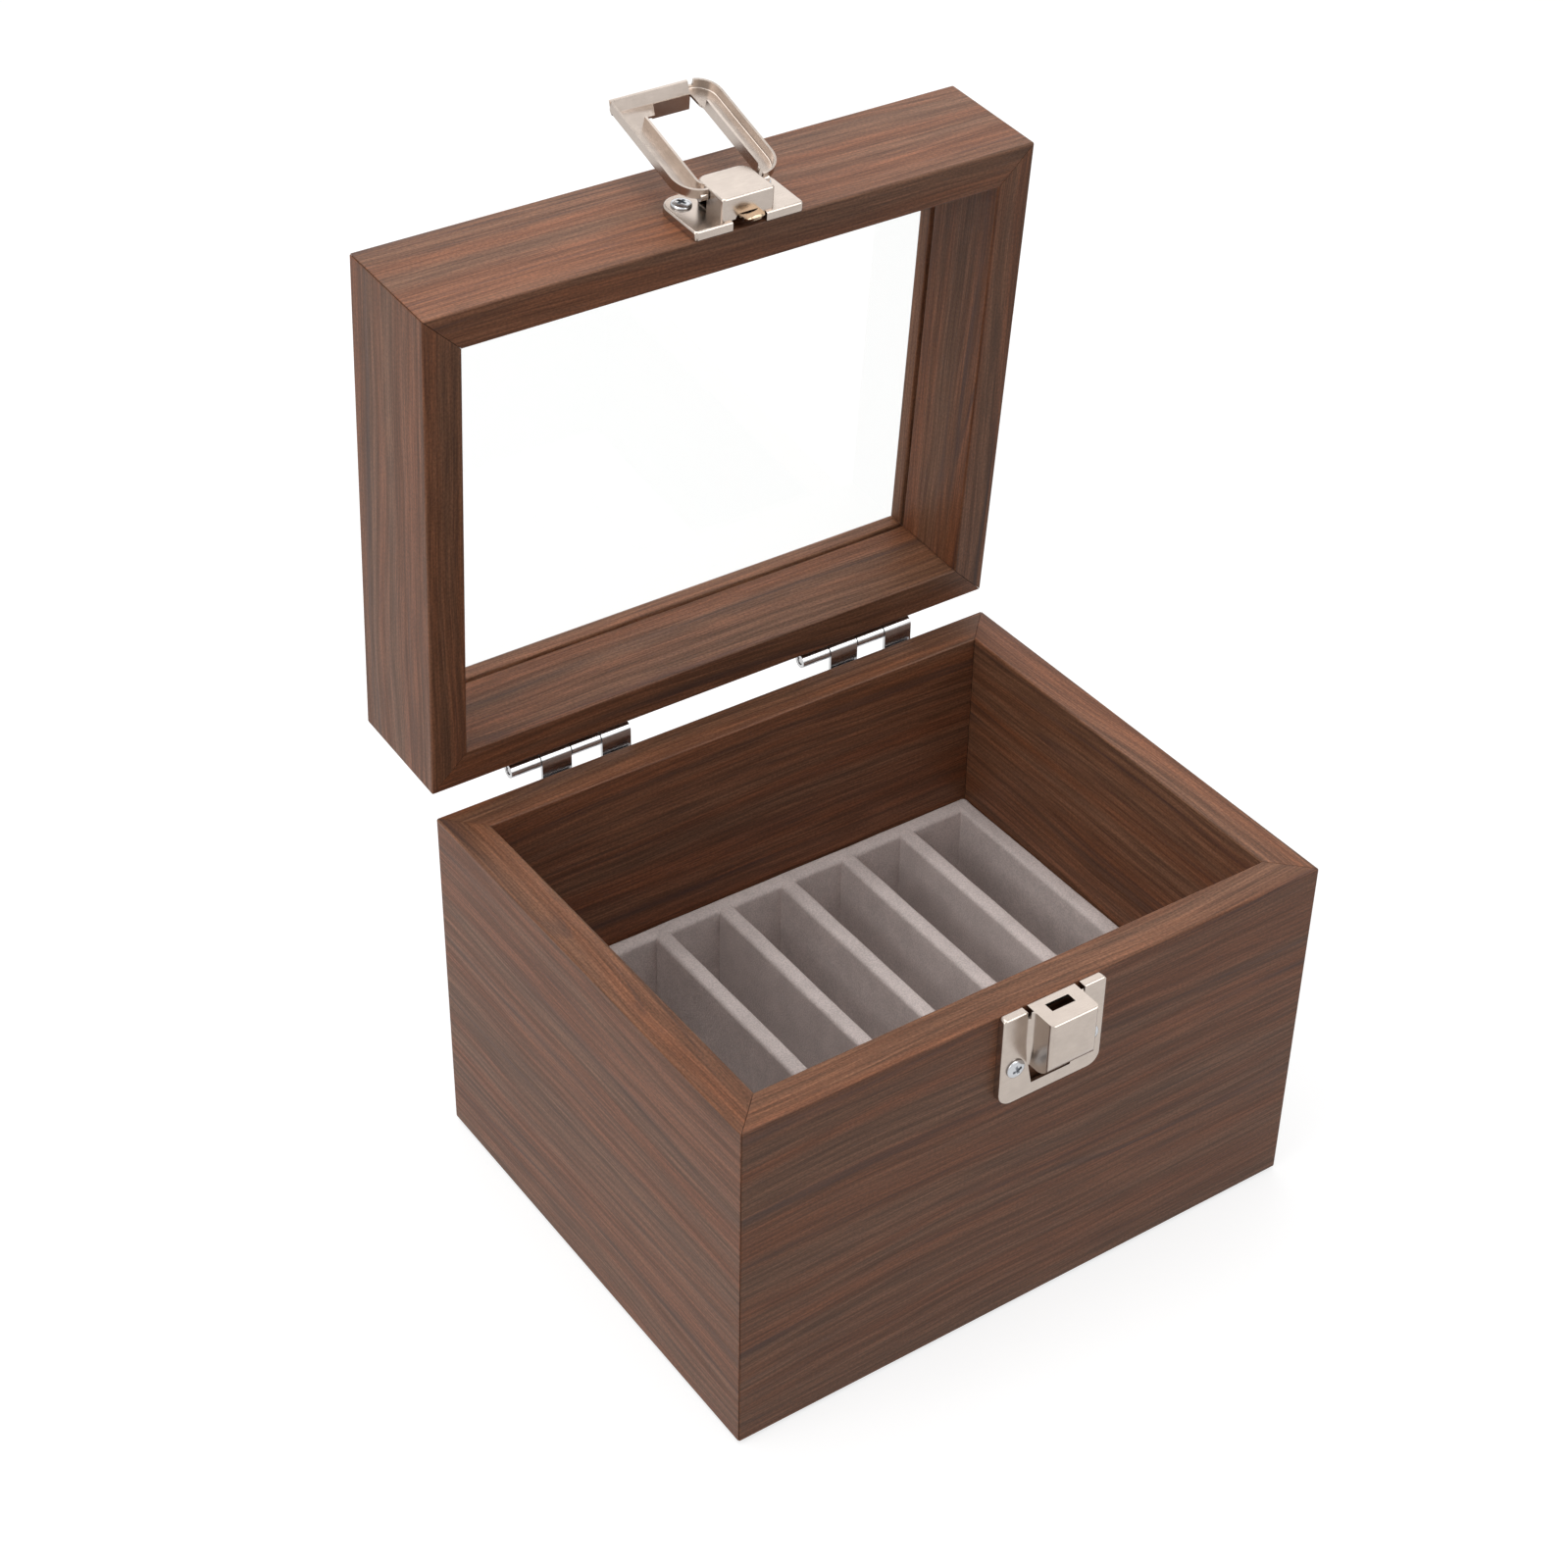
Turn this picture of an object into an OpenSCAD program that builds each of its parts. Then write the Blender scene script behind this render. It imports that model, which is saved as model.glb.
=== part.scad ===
// Lidded display box with a glazed lid, a lined slot tray, two butt hinges and a bail clasp.
// Millimetres. The origin is the middle of the underside, +Z is up and the clasp faces -Y.

/* [Box] */
// Outside width of the box, side to side
box_w = 140; // [130:1:180]
// Outside depth of the box, front to back
box_d = 112; // [100:1:150]
// Height of the base, from the table to its rim
base_h = 83.2; // [75:0.1:110]
// Thickness of the boards of the base and the lid
wall_t = 8.2; // [7.4:0.2:10]
// Thickness of the bottom board
bottom_t = 4; // [3:0.5:6]
// How far the bottom board is let into the walls
bottom_rebate = 3; // [2:0.5:5]
// Thickness of the felt under the box
felt_t = 0.8; // [0.5:0.1:2]
// How far the felt stays in from the outside faces
felt_inset = 1; // [0.5:0.5:4]

/* [Lid] */
// Height of the lid's rails
lid_h = 27.6; // [25:0.1:40]
// Gap between the rim of the base and the rim of the lid when shut
lid_gap = 0.5; // [0.3:0.1:1]
// Angle by which the lid stands open at its stop
open_angle = 85.7; // [60:0.1:100]
// Thickness of the pane
pane_t = 1.5; // [1:0.1:2]
// Height of the pane's groove above the rim of the lid
pane_up = 19.7; // [14:0.1:20]
// Depth of the pane's groove in the rails
groove_d = 2.6; // [2:0.1:4]
// Clearance of the pane in its groove, on each side
pane_clear = 0.15; // [0.1:0.05:0.3]
// Bevel round the window, on the outside of the lid
window_bevel = 2.7; // [1:0.1:3.5]

/* [Tray] */
// Height of the tray's top above the table
tray_top = 39.8; // [30:0.1:60]
// Thickness of the tray's floor board
tray_floor_t = 2; // [1.5:0.5:4]
// Thickness of the tray's rails
tray_rail_t = 4; // [3:0.2:6]
// Clearance of the tray in the base, on each side
tray_clear = 0.3; // [0.2:0.1:1]
// Thickness of a divider
divider_t = 4; // [3:0.2:5]
// Number of dividers, one fewer than the slots
divider_count = 6; // [2:1:6]
// Distance from one divider to the next
divider_pitch = 16.4; // [10:0.1:17]
// Sideways place of the row of dividers, from the middle
divider_shift = 1.3; // [-1.5:0.1:1.5]

/* [Hinges] */
// Length of a hinge
hinge_len = 29; // [24:1:40]
// Distance of each hinge from its side of the box
hinge_inset = 18.8; // [10:0.1:28]
// Distance of the hinge axis behind the back face
axis_out = 3; // [2.8:0.1:3.4]
// Height of the hinge axis above the rim of the base
axis_up = 2.4; // [2.2:0.1:2.8]
// Radius of the knuckles
knuckle_r = 1.6; // [1.4:0.1:1.8]
// Radius of the hinge pins
hinge_pin_r = 0.8; // [0.6:0.05:0.9]
// Thickness of a hinge leaf
leaf_t = 0.9; // [0.6:0.1:1.1]
// Height of a hinge leaf on the wood
leaf_h = 10.3; // [9:0.1:14]
// Clearance between two knuckles
knuckle_gap = 0.2; // [0.1:0.05:0.4]
// Distance of each leaf screw from the middle of the leaf
leaf_screw_x = 9; // [7:0.5:10]
// Height of a leaf screw from the leaf's outer edge
leaf_screw_in = 4.6; // [4:0.1:5]

/* [Clasp plates] */
// Sideways place of the clasp from the middle of the front
clasp_x = 1; // [-5:0.5:5]
// Width of both clasp plates
plate_w = 25; // [24:0.5:30]
// How far the plates stand out from the wood
plate_out = 1.9; // [1.6:0.1:2.2]
// Sheet thickness of the plates and the bail
sheet_t = 0.7; // [0.5:0.1:0.8]
// Height of the plate on the base
keeper_h = 22; // [21.5:0.5:26]
// Corner radius at the foot of the plate on the base
keeper_r = 3; // [1:0.5:4]
// Height of the plate on the lid
catch_h = 14.2; // [13:0.1:16]
// Corner radius at the top of the plate on the lid
catch_r = 4; // [2:0.5:5]
// Radius of the tight corners of both plates
tight_r = 0.8; // [0.8:0.1:1.5]
// Distance of the plate screws from the middle of the clasp
plate_screw_x = 9.1; // [8.8:0.1:9.5]
// Height of the screws below the top of the plate on the base
keeper_screw_down = 13; // [11:0.5:15]
// Height of the screws above the foot of the plate on the lid
catch_screw_up = 10.2; // [8:0.1:10.5]

/* [Keeper housing] */
// How far the top of the keeper stays below the rim of the base
keeper_drop = 0.4; // [0.3:0.1:0.6]
// Width of the keeper's housing
keeper_w = 12.3; // [10:0.1:12.5]
// How far the keeper's housing stands out from the wood
keeper_out = 8; // [7:0.1:9]
// Height of the keeper's housing
keeper_body_h = 15.3; // [12:0.1:15.6]
// Radius of the rounded foot of the keeper's housing
keeper_foot_r = 4.2; // [3:0.1:5]
// Radius of the upright edges of the keeper's housing
keeper_edge_r = 1.2; // [1:0.1:2]
// Clearance of the hook in its slot, at each side
slot_side_clear = 0.4; // [0.3:0.1:0.7]
// Clearance of the hook in its slot, towards the wood
slot_in_clear = 0.2; // [0.2:0.05:0.4]
// Play of the barb in its slot, away from the wood
slot_out_play = 0.5; // [0.4:0.05:0.6]
// Width of the notches beside the housing
notch_w = 1.2; // [0.6:0.1:2]
// Height of the window pierced below the housing
pierce_h = 4; // [2:0.1:4.5]
// Width of the window pierced below the housing
pierce_w = 13; // [8:0.1:14]

/* [Catch housing] */
// Width of the catch's housing
catch_w = 12; // [10:0.1:12]
// How far the catch's housing stands out from the wood
catch_out = 6.7; // [6.6:0.1:8]
// Height of the catch's housing, from the plate's foot
catch_body_h = 11; // [10.5:0.1:12]
// How far the housing's foot is set back from the plate's foot
catch_set = 0.7; // [0:0.1:1]
// Corner radius at the top of the catch's housing
catch_body_r = 2.5; // [1:0.1:2.6]
// Width of the gap in the foot flange
mouth_w = 7.7; // [6.5:0.1:10]
// Clearance of the hook in its arch, at each side
arch_side_clear = 0.7; // [0.4:0.1:1]
// Room in the arch for the hook's swing
arch_play = 1.3; // [1.2:0.1:1.8]
// Corner radius of the arch
arch_r = 1.4; // [1:0.1:1.6]

/* [Bail] */
// Height of the bail's axis above the rim of the lid
bail_up = 6.3; // [6:0.1:6.6]
// Distance of the bail's axis from the wood
bail_axis_out = 5.2; // [5.1:0.1:5.3]
// Outside width of the bail
bail_w = 23.3; // [22:0.1:25]
// Clearance of the bail's window round the keeper's housing, at each side
bail_side_clear = 0.7; // [0.4:0.1:1.2]
// Clearance of the bail's window under the keeper's housing
bail_foot_clear = 0.4; // [0.3:0.1:1]
// Width of the bail's far bar
bail_bar = 5; // [4:0.1:6]
// Clearance of the bail beside the catch's housing
bail_hub_clear = 0.25; // [0.2:0.05:0.4]
// Corner radius outside the bail
bail_r = 4.2; // [3:0.1:5]
// Corner radius in the bail's window
bail_window_r = 1.5; // [1:0.1:2.5]
// Depth of the bail's channel section
bail_deep = 2.5; // [2:0.1:2.5]
// Radius of the bail's trunnions
trunnion_r = 0.55; // [0.4:0.05:0.6]
// Width of the finger tab on the bail
tab_w = 11; // [8:0.1:12]
// How far the finger tab flares out
tab_flare = 1.7; // [1:0.1:2.2]
// Angle through which the bail turns from open to shut
bail_turn = 165.6; // [120:0.1:170]

/* [Hook] */
// Height of the hook's pin above the rim of the lid
hook_pin_up = 7.9; // [7.6:0.1:8]
// Distance of the hook's pin from the wood
hook_pin_out = 3.6; // [3.4:0.1:3.8]
// Radius of the hook's pin
hook_pin_r = 0.5; // [0.4:0.05:0.6]
// Width of the hook
hook_w = 4.8; // [4:0.1:4.9]
// Thickness of the hook's strip
hook_t = 0.8; // [0.6:0.1:0.9]
// Distance of the hook's inner face from the wood
hook_in = 2; // [1.95:0.05:2.1]
// Clearance of the barb under the keeper's top
barb_clear = 0.15; // [0.1:0.05:0.3]
// Height of the barb
barb_h = 0.5; // [0.4:0.05:0.55]
// How far the barb stands out from the strip
barb_out = 0.8; // [0.6:0.1:0.9]
// Thickness of the leaf spring behind the hook
spring_t = 0.3; // [0.2:0.05:0.4]

/* [Screws] */
// Radius of the clasp screws' heads
clasp_head_r = 2.1; // [1.8:0.1:2.3]
// Radius of the hinge screws' heads
hinge_head_r = 1.8; // [1.6:0.1:2.1]
// Height of a screw head
head_h = 0.8; // [0.6:0.1:0.9]
// Radius of a screw shank
shank_r = 0.9; // [0.7:0.1:1.1]
// Length of a screw in the wood
shank_len = 6; // [4:0.5:6.5]

/* [Hidden] */
$fn = 48;
eps = 0.01;
fit = 0.05;
press = 0.02;
walnut = [0.36, 0.23, 0.16];
velvet = [0.66, 0.60, 0.57];
nickel = [0.80, 0.76, 0.70];
chrome = [0.78, 0.78, 0.80];
spring_steel = [0.72, 0.62, 0.42];
felt_black = [0.10, 0.09, 0.09];
pane_tint = [0.85, 0.92, 0.92, 0.35];

wall_h = base_h - felt_t;
bottom_top = felt_t + bottom_t;
panel_w = box_w - 2 * (wall_t - bottom_rebate);
panel_d = box_d - 2 * (wall_t - bottom_rebate);
inner_w = box_w - 2 * wall_t;
inner_d = box_d - 2 * wall_t;
lid_z = base_h + lid_gap;
groove_w = pane_t + 2 * pane_clear;
pane_w = inner_w + 2 * (groove_d - pane_clear);
pane_d = inner_d + 2 * (groove_d - pane_clear);

tray_w = inner_w - 2 * tray_clear;
tray_d = inner_d - 2 * tray_clear;
slot_floor = bottom_top + tray_floor_t;
slot_deep = tray_top - slot_floor;
slot_len = tray_d - 2 * tray_rail_t;

axis_y = box_d / 2 + axis_out;
axis_z = base_h + axis_up;
hinge_x = box_w / 2 - hinge_inset - hinge_len / 2;
knuckle_len = (hinge_len - 3 * knuckle_gap) / 4;
strap_rise = 1.1;
strap_foot = 1.5;
leaf_start = knuckle_r + strap_rise;

front_y = -box_d / 2;
edge_x = box_w / 2;

slot_w = hook_w + 2 * slot_side_clear;
slot_in = hook_in - slot_in_clear;
slot_out = hook_in + hook_t + barb_out + slot_out_play;
arch_w = hook_w + 2 * arch_side_clear;
arch_out = hook_in + hook_t + arch_play;
hook_reach = lid_gap + keeper_drop + sheet_t + barb_clear + barb_h;

bail_window_w = keeper_w + 2 * bail_side_clear;
bail_window_reach = bail_up + lid_gap + keeper_drop + keeper_body_h + bail_foot_clear;
bail_reach = bail_window_reach + bail_bar;
bail_near = 1.1;
bail_window_near = 1.2;
bail_face = 0.5;
bail_hub_r = 1.1;
bail_hub_len = 1.6;
trunnion_in = 1;
hook_eye_r = 1.3;
hook_tip_r = 1.4;

// Turns what is drawn for the shut lid to where the lid stands open
module on_lid() {
    translate([0, axis_y, axis_z])
        rotate([-open_angle, 0, 0])
            translate([0, -axis_y, -axis_z])
                children();
}

// Plan of a board with mitred ends: outer face on y = 0, wood towards +y
module mitre_plan(length) {
    polygon([
        [-length / 2, 0], [length / 2, 0],
        [length / 2 - wall_t, wall_t], [-length / 2 + wall_t, wall_t]
    ]);
}

// Places a board drawn along the front on one side of the box
module on_side(turn, out) {
    rotate([0, 0, turn]) translate([0, -out, 0]) children();
}

// Rectangle on the XZ plane's sketch with its foot on y = 0 and four rounded corners
module corner_plate(w, h, r_foot, r_top) {
    translate([-w / 2 + r_foot, 0]) square([w - 2 * r_foot, h / 2]);
    translate([-w / 2, r_foot]) square([w, h - r_foot - r_top]);
    translate([-w / 2 + r_top, h / 2]) square([w - 2 * r_top, h / 2]);
    for (side = [-1, 1]) {
        translate([side * (w / 2 - r_foot), r_foot]) circle(r = r_foot);
        translate([side * (w / 2 - r_top), h - r_top]) circle(r = r_top);
    }
}

// Raises a sketch, drawn in x and z, outwards from the wood on the front face
module press_out(depth) {
    rotate([90, 0, 0]) linear_extrude(depth) children();
}

// Pan head screw with a cross recess: the head's underside is on z = 0
module screw(head_r) {
    difference() {
        union() {
            rotate_extrude()
                polygon([
                    [0, 0], [head_r, 0], [head_r, head_h * 0.35],
                    [head_r * 0.86, head_h * 0.75], [head_r * 0.6, head_h], [0, head_h]
                ]);
            translate([0, 0, -shank_len + 1]) cylinder(r = shank_r, h = shank_len - 1 + eps);
            translate([0, 0, -shank_len]) cylinder(r1 = 0.2, r2 = shank_r, h = 1, $fn = 24);
        }
        for (turn = [0, 90])
            rotate([0, 0, turn + 20])
                translate([0, 0, head_h])
                    cube([head_r * 1.2, head_r * 0.26, head_h * 1.1], center = true);
    }
}

// Pilot hole for a screw, from the face of the wood
module pilot() {
    translate([0, 0, -shank_len - 0.3])
        cylinder(r = shank_r + fit, h = shank_len + 1);
}

// Where the clasp's origin is: on the wood's front face at a height
module at_clasp(z) {
    translate([clasp_x, front_y, z]) children();
}

module clasp_pair(z) {
    for (side = [-1, 1])
        translate([side * plate_screw_x, 0, z]) rotate([90, 0, 0]) children();
}

module leaf_screw_places(z) {
    for (side = [-1, 1], along = [-1, 1])
        translate([side * hinge_x + along * leaf_screw_x, box_d / 2, z])
            rotate([-90, 0, 0]) children();
}

keeper_screw_z = base_h - keeper_drop - keeper_screw_down;
catch_screw_z = lid_z + catch_screw_up;
base_leaf_screw_z = axis_z - leaf_start - leaf_h + leaf_screw_in;
lid_leaf_screw_z = axis_z + leaf_start + leaf_h - leaf_screw_in;

// A wall of the base, rebated at its foot for the bottom board
module base_wall(length) {
    difference() {
        translate([0, 0, felt_t]) linear_extrude(wall_h) mitre_plan(length);
        translate([-length, wall_t - bottom_rebate, felt_t - 1])
            cube([2 * length, bottom_rebate + 1, bottom_t + 1]);
    }
}

module base_front_wall() {
    color(walnut)
        difference() {
            on_side(0, box_d / 2) base_wall(box_w);
            at_clasp(0) clasp_pair(keeper_screw_z) pilot();
        }
}

module base_rear_wall() {
    color(walnut)
        difference() {
            on_side(180, box_d / 2) base_wall(box_w);
            leaf_screw_places(base_leaf_screw_z) pilot();
        }
}

module base_left_wall() {
    color(walnut) on_side(-90, edge_x) base_wall(box_d);
}

module base_right_wall() {
    color(walnut) on_side(90, edge_x) base_wall(box_d);
}

module base_bottom_board() {
    color(walnut)
        translate([-panel_w / 2, -panel_d / 2, felt_t])
            cube([panel_w, panel_d, bottom_t]);
}

module base_felt() {
    felt_w = box_w - 2 * felt_inset;
    felt_d = box_d - 2 * felt_inset;
    color(felt_black)
        translate([-felt_w / 2, -felt_d / 2, 0]) cube([felt_w, felt_d, felt_t]);
}

module tray_floor() {
    color(velvet)
        translate([-tray_w / 2, -tray_d / 2, bottom_top])
            cube([tray_w, tray_d, tray_floor_t]);
}

// Rail along the front or the back of the tray
module tray_long_rail(side) {
    color(velvet)
        translate([-tray_w / 2, side * (tray_d - tray_rail_t) / 2 - tray_rail_t / 2, slot_floor])
            cube([tray_w, tray_rail_t, slot_deep]);
}

// Rail at one end of the tray, between the long rails
module tray_short_rail(side) {
    color(velvet)
        translate([side * (tray_w - tray_rail_t) / 2 - tray_rail_t / 2, -slot_len / 2, slot_floor])
            cube([tray_rail_t, slot_len, slot_deep]);
}

module tray_front_rail() { tray_long_rail(-1); }
module tray_rear_rail() { tray_long_rail(1); }
module tray_left_rail() { tray_short_rail(-1); }
module tray_right_rail() { tray_short_rail(1); }

module tray_divider(i) {
    x = divider_shift + (i - (divider_count + 1) / 2) * divider_pitch;
    color(velvet)
        translate([x - divider_t / 2, -slot_len / 2, slot_floor])
            cube([divider_t, slot_len, slot_deep]);
}

// Side view of a leaf with the strap that rises to its barrel; x is out from the
// axis, y is up from it, and the leaf hangs below
module leaf_side() {
    translate([-axis_out, -leaf_start - leaf_h]) square([leaf_t, leaf_h]);
}

module strap_side() {
    polygon([
        [-axis_out, -leaf_start - strap_foot], [-axis_out, -leaf_start],
        [-knuckle_r * 0.9, -knuckle_r * 0.2], [-knuckle_r * 0.2, -knuckle_r * 0.9],
        [-axis_out + leaf_t, -leaf_start - strap_foot]
    ]);
    circle(r = knuckle_r);
}

// Turns a side view into a length along X, starting at x
module along_x(x, length) {
    translate([x, 0, 0]) rotate([90, 0, 90]) linear_extrude(length) children();
}

// A leaf with two knuckles; first is the place of its first knuckle, bore_r its bore
module hinge_leaf(first, bore_r) {
    step = knuckle_len + knuckle_gap;
    difference() {
        union() {
            along_x(-hinge_len / 2, hinge_len) leaf_side();
            for (i = [first, first + 2])
                along_x(-hinge_len / 2 + i * step, knuckle_len) strap_side();
        }
        translate([-hinge_len / 2 - 1, 0, 0])
            rotate([0, 90, 0]) cylinder(r = bore_r, h = hinge_len + 2);
        for (along = [-1, 1])
            translate([along * leaf_screw_x, -axis_out - 1, -leaf_start - leaf_h + leaf_screw_in])
                rotate([-90, 0, 0]) cylinder(r = shank_r + fit, h = 3);
    }
}

module base_leaf(side) {
    color(chrome)
        translate([side * hinge_x, axis_y, axis_z])
            hinge_leaf(1, hinge_pin_r + press);
}

module lid_leaf(side) {
    color(chrome)
        on_lid()
            translate([side * hinge_x, axis_y, axis_z])
                mirror([0, 0, 1]) hinge_leaf(0, hinge_pin_r + fit);
}

module hinge_pin(side) {
    color(chrome)
        translate([side * hinge_x - hinge_len / 2 + knuckle_gap, axis_y, axis_z])
            rotate([0, 90, 0])
                cylinder(r = hinge_pin_r, h = hinge_len - 2 * knuckle_gap);
}

module hinge_base_screws() {
    color(chrome)
        translate([0, leaf_t, 0]) leaf_screw_places(base_leaf_screw_z) screw(hinge_head_r);
}

module hinge_lid_screws() {
    color(chrome)
        on_lid()
            translate([0, leaf_t, 0]) leaf_screw_places(lid_leaf_screw_z) screw(hinge_head_r);
}

// Plan of the keeper's housing, with inset for its hollow; y runs out from the wood
module keeper_plan(inset) {
    w = keeper_w - 2 * inset;
    out = keeper_out - inset;
    r = keeper_edge_r - inset;
    translate([-w / 2, 0]) square([w, out - r]);
    translate([-w / 2 + r, 0]) square([w - 2 * r, out]);
    for (side = [-1, 1])
        translate([side * (w / 2 - r), out - r]) circle(r = r);
}

// Side view of the keeper's housing; x runs out from the wood, y up to the top
module keeper_side(inset) {
    out = keeper_out - inset;
    r = keeper_foot_r - inset;
    low = -keeper_body_h + inset;
    translate([-eps, low]) square([out - r + eps, -low - inset]);
    translate([-eps, low + r]) square([out + eps, -low - r - inset]);
    translate([out - r, low + r]) circle(r = r);
}

module keeper_housing(inset) {
    intersection() {
        translate([0, 0, -keeper_body_h])
            mirror([0, 1, 0]) linear_extrude(keeper_body_h) keeper_plan(inset);
        rotate([0, 0, -90])
            along_x_centre(keeper_w) keeper_side(inset);
    }
}

// Extrudes a side view, drawn out and up, along the clasp's width
module along_x_centre(w) {
    rotate([90, 0, 0]) translate([0, 0, -w / 2]) linear_extrude(w) children();
}

// A plate with flanges turned back to the wood; z0 is its foot
module pressed_plate(h, r_foot, r_top) {
    difference() {
        press_out(plate_out) corner_plate(plate_w, h, r_foot, r_top);
        translate([0, eps, sheet_t])
            press_out(plate_out - sheet_t + eps)
                corner_plate(
                    plate_w - 2 * sheet_t, h - 2 * sheet_t,
                    max(0.1, r_foot - sheet_t), max(0.1, r_top - sheet_t)
                );
    }
}

module keeper_plate() {
    top = base_h - keeper_drop;
    color(nickel)
        at_clasp(top)
            difference() {
                union() {
                    translate([0, 0, -keeper_h]) pressed_plate(keeper_h, keeper_r, tight_r);
                    keeper_housing(0);
                }
                translate([0, 2 * eps, 0]) keeper_housing(sheet_t);
                translate([-slot_w / 2, -slot_out, -1])
                    cube([slot_w, slot_out - slot_in, 2]);
                for (side = [-1, 1])
                    translate([side * (keeper_w + notch_w) / 2 - notch_w / 2, -plate_out - 1, -sheet_t])
                        cube([notch_w, plate_out + 2, 2]);
                translate([-pierce_w / 2, -plate_out - 1, -keeper_body_h - pierce_h])
                    cube([pierce_w, plate_out + 2, pierce_h]);
                clasp_pair(-keeper_screw_down)
                    translate([0, 0, -1]) cylinder(r = shank_r + fit, h = plate_out + 2);
            }
}

module keeper_screws() {
    color(chrome)
        at_clasp(0)
            translate([0, -plate_out, 0]) clasp_pair(keeper_screw_z) screw(clasp_head_r);
}

// A rail of the lid: grooved for the pane and bevelled round the window
module lid_rail(length) {
    intersection() {
        translate([0, 0, lid_z]) linear_extrude(lid_h) mitre_plan(length);
        translate([0, 0, lid_z])
            along_x(-length, 2 * length)
                polygon([
                    [0, 0], [wall_t, 0],
                    [wall_t, pane_up], [wall_t - groove_d, pane_up],
                    [wall_t - groove_d, pane_up + groove_w], [wall_t, pane_up + groove_w],
                    [wall_t, lid_h - window_bevel], [wall_t - window_bevel, lid_h],
                    [0, lid_h]
                ]);
    }
}

module lid_front_rail() {
    color(walnut)
        on_lid()
            difference() {
                on_side(0, box_d / 2) lid_rail(box_w);
                at_clasp(0) clasp_pair(catch_screw_z) pilot();
            }
}

module lid_rear_rail() {
    color(walnut)
        on_lid()
            difference() {
                on_side(180, box_d / 2) lid_rail(box_w);
                leaf_screw_places(lid_leaf_screw_z) pilot();
            }
}

module lid_left_rail() {
    color(walnut) on_lid() on_side(-90, edge_x) lid_rail(box_d);
}

module lid_right_rail() {
    color(walnut) on_lid() on_side(90, edge_x) lid_rail(box_d);
}

module lid_pane() {
    color(pane_tint)
        on_lid()
            translate([-pane_w / 2, -pane_d / 2, lid_z + pane_up + pane_clear])
                cube([pane_w, pane_d, pane_t]);
}

// The arch in the foot of the catch's housing that lets the hook swing
module arch() {
    translate([0, -1]) corner_plate(arch_w, arch_out + 1, tight_r, arch_r);
}

module catch_plate() {
    color(nickel)
        on_lid()
            at_clasp(lid_z)
                difference() {
                    union() {
                        pressed_plate(catch_h, tight_r, catch_r);
                        translate([0, 0, catch_set])
                            press_out(catch_out)
                                corner_plate(
                                    catch_w, catch_body_h - catch_set,
                                    tight_r, catch_body_r
                                );
                    }
                    translate([0, eps, catch_set + sheet_t])
                        press_out(catch_out - sheet_t + eps)
                            corner_plate(
                                catch_w - 2 * sheet_t, catch_body_h - catch_set - 2 * sheet_t,
                                0.1, catch_body_r - sheet_t
                            );
                    translate([-mouth_w / 2, -plate_out, -1])
                        cube([mouth_w, plate_out + 1, catch_set + sheet_t + 1 + eps]);
                    translate([0, 0, -1])
                        linear_extrude(catch_set + sheet_t + 1 + eps) mirror([0, 1, 0]) arch();
                    clasp_pair(catch_screw_up)
                        translate([0, 0, -1]) cylinder(r = shank_r + fit, h = plate_out + 2);
                    translate([-catch_w, -bail_axis_out, bail_up])
                        rotate([0, 90, 0]) cylinder(r = trunnion_r + fit, h = 2 * catch_w);
                    translate([-catch_w, -hook_pin_out, hook_pin_up])
                        rotate([0, 90, 0]) cylinder(r = hook_pin_r + press, h = 2 * catch_w);
                }
}

module catch_screws() {
    color(chrome)
        on_lid()
            at_clasp(0)
                translate([0, -plate_out, 0]) clasp_pair(catch_screw_z) screw(clasp_head_r);
}

// Outline of the bail's ring, with inset for its hollow channel; y is down from the axis
module bail_ring(inset) {
    difference() {
        translate([0, -bail_reach + inset])
            corner_plate(
                bail_w - 2 * inset, bail_reach + bail_near - 2 * inset,
                bail_r - inset, bail_r - inset
            );
        translate([0, -bail_window_reach - inset])
            corner_plate(
                bail_window_w + 2 * inset, bail_window_reach - bail_window_near + 2 * inset,
                bail_window_r + inset, bail_window_r + inset
            );
        translate([-catch_w / 2 - bail_hub_clear, -bail_window_near - 1])
            square([catch_w + 2 * bail_hub_clear, bail_near + bail_window_near + 2]);
    }
}

// The bail as it hangs shut, on its own axis
module bail_shape() {
    tab_foot = -bail_reach + sheet_t;
    difference() {
        union() {
            difference() {
                translate([0, bail_deep - bail_face, 0]) press_out(bail_deep) bail_ring(0);
                translate([0, bail_deep - bail_face + eps, 0])
                    press_out(bail_deep - sheet_t + eps) bail_ring(sheet_t);
            }
            for (side = [-1, 1])
                translate([side * (catch_w / 2 + bail_hub_clear), 0, 0])
                    rotate([0, side * 90, 0]) cylinder(r = bail_hub_r, h = bail_hub_len);
        }
        translate([-tab_w / 2, -5, tab_foot])
            cube([tab_w, 10, bail_reach - sheet_t - bail_window_reach + 1.5]);
    }
    along_x(-tab_w / 2, tab_w)
        polygon([
            [-bail_face + sheet_t, tab_foot - eps], [-bail_face, tab_foot - eps],
            [-bail_face - tab_flare, -bail_window_reach],
            [-bail_face - tab_flare + sheet_t, -bail_window_reach]
        ]);
    for (side = [-1, 1])
        translate([side * (catch_w / 2 - trunnion_in), 0, 0])
            rotate([0, side * 90, 0]) cylinder(r = trunnion_r, h = 2 * trunnion_in);
}

module clasp_bail() {
    color(nickel)
        on_lid()
            at_clasp(lid_z)
                translate([0, -bail_axis_out, bail_up])
                    rotate([-bail_turn, 0, 0]) bail_shape();
}

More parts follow.
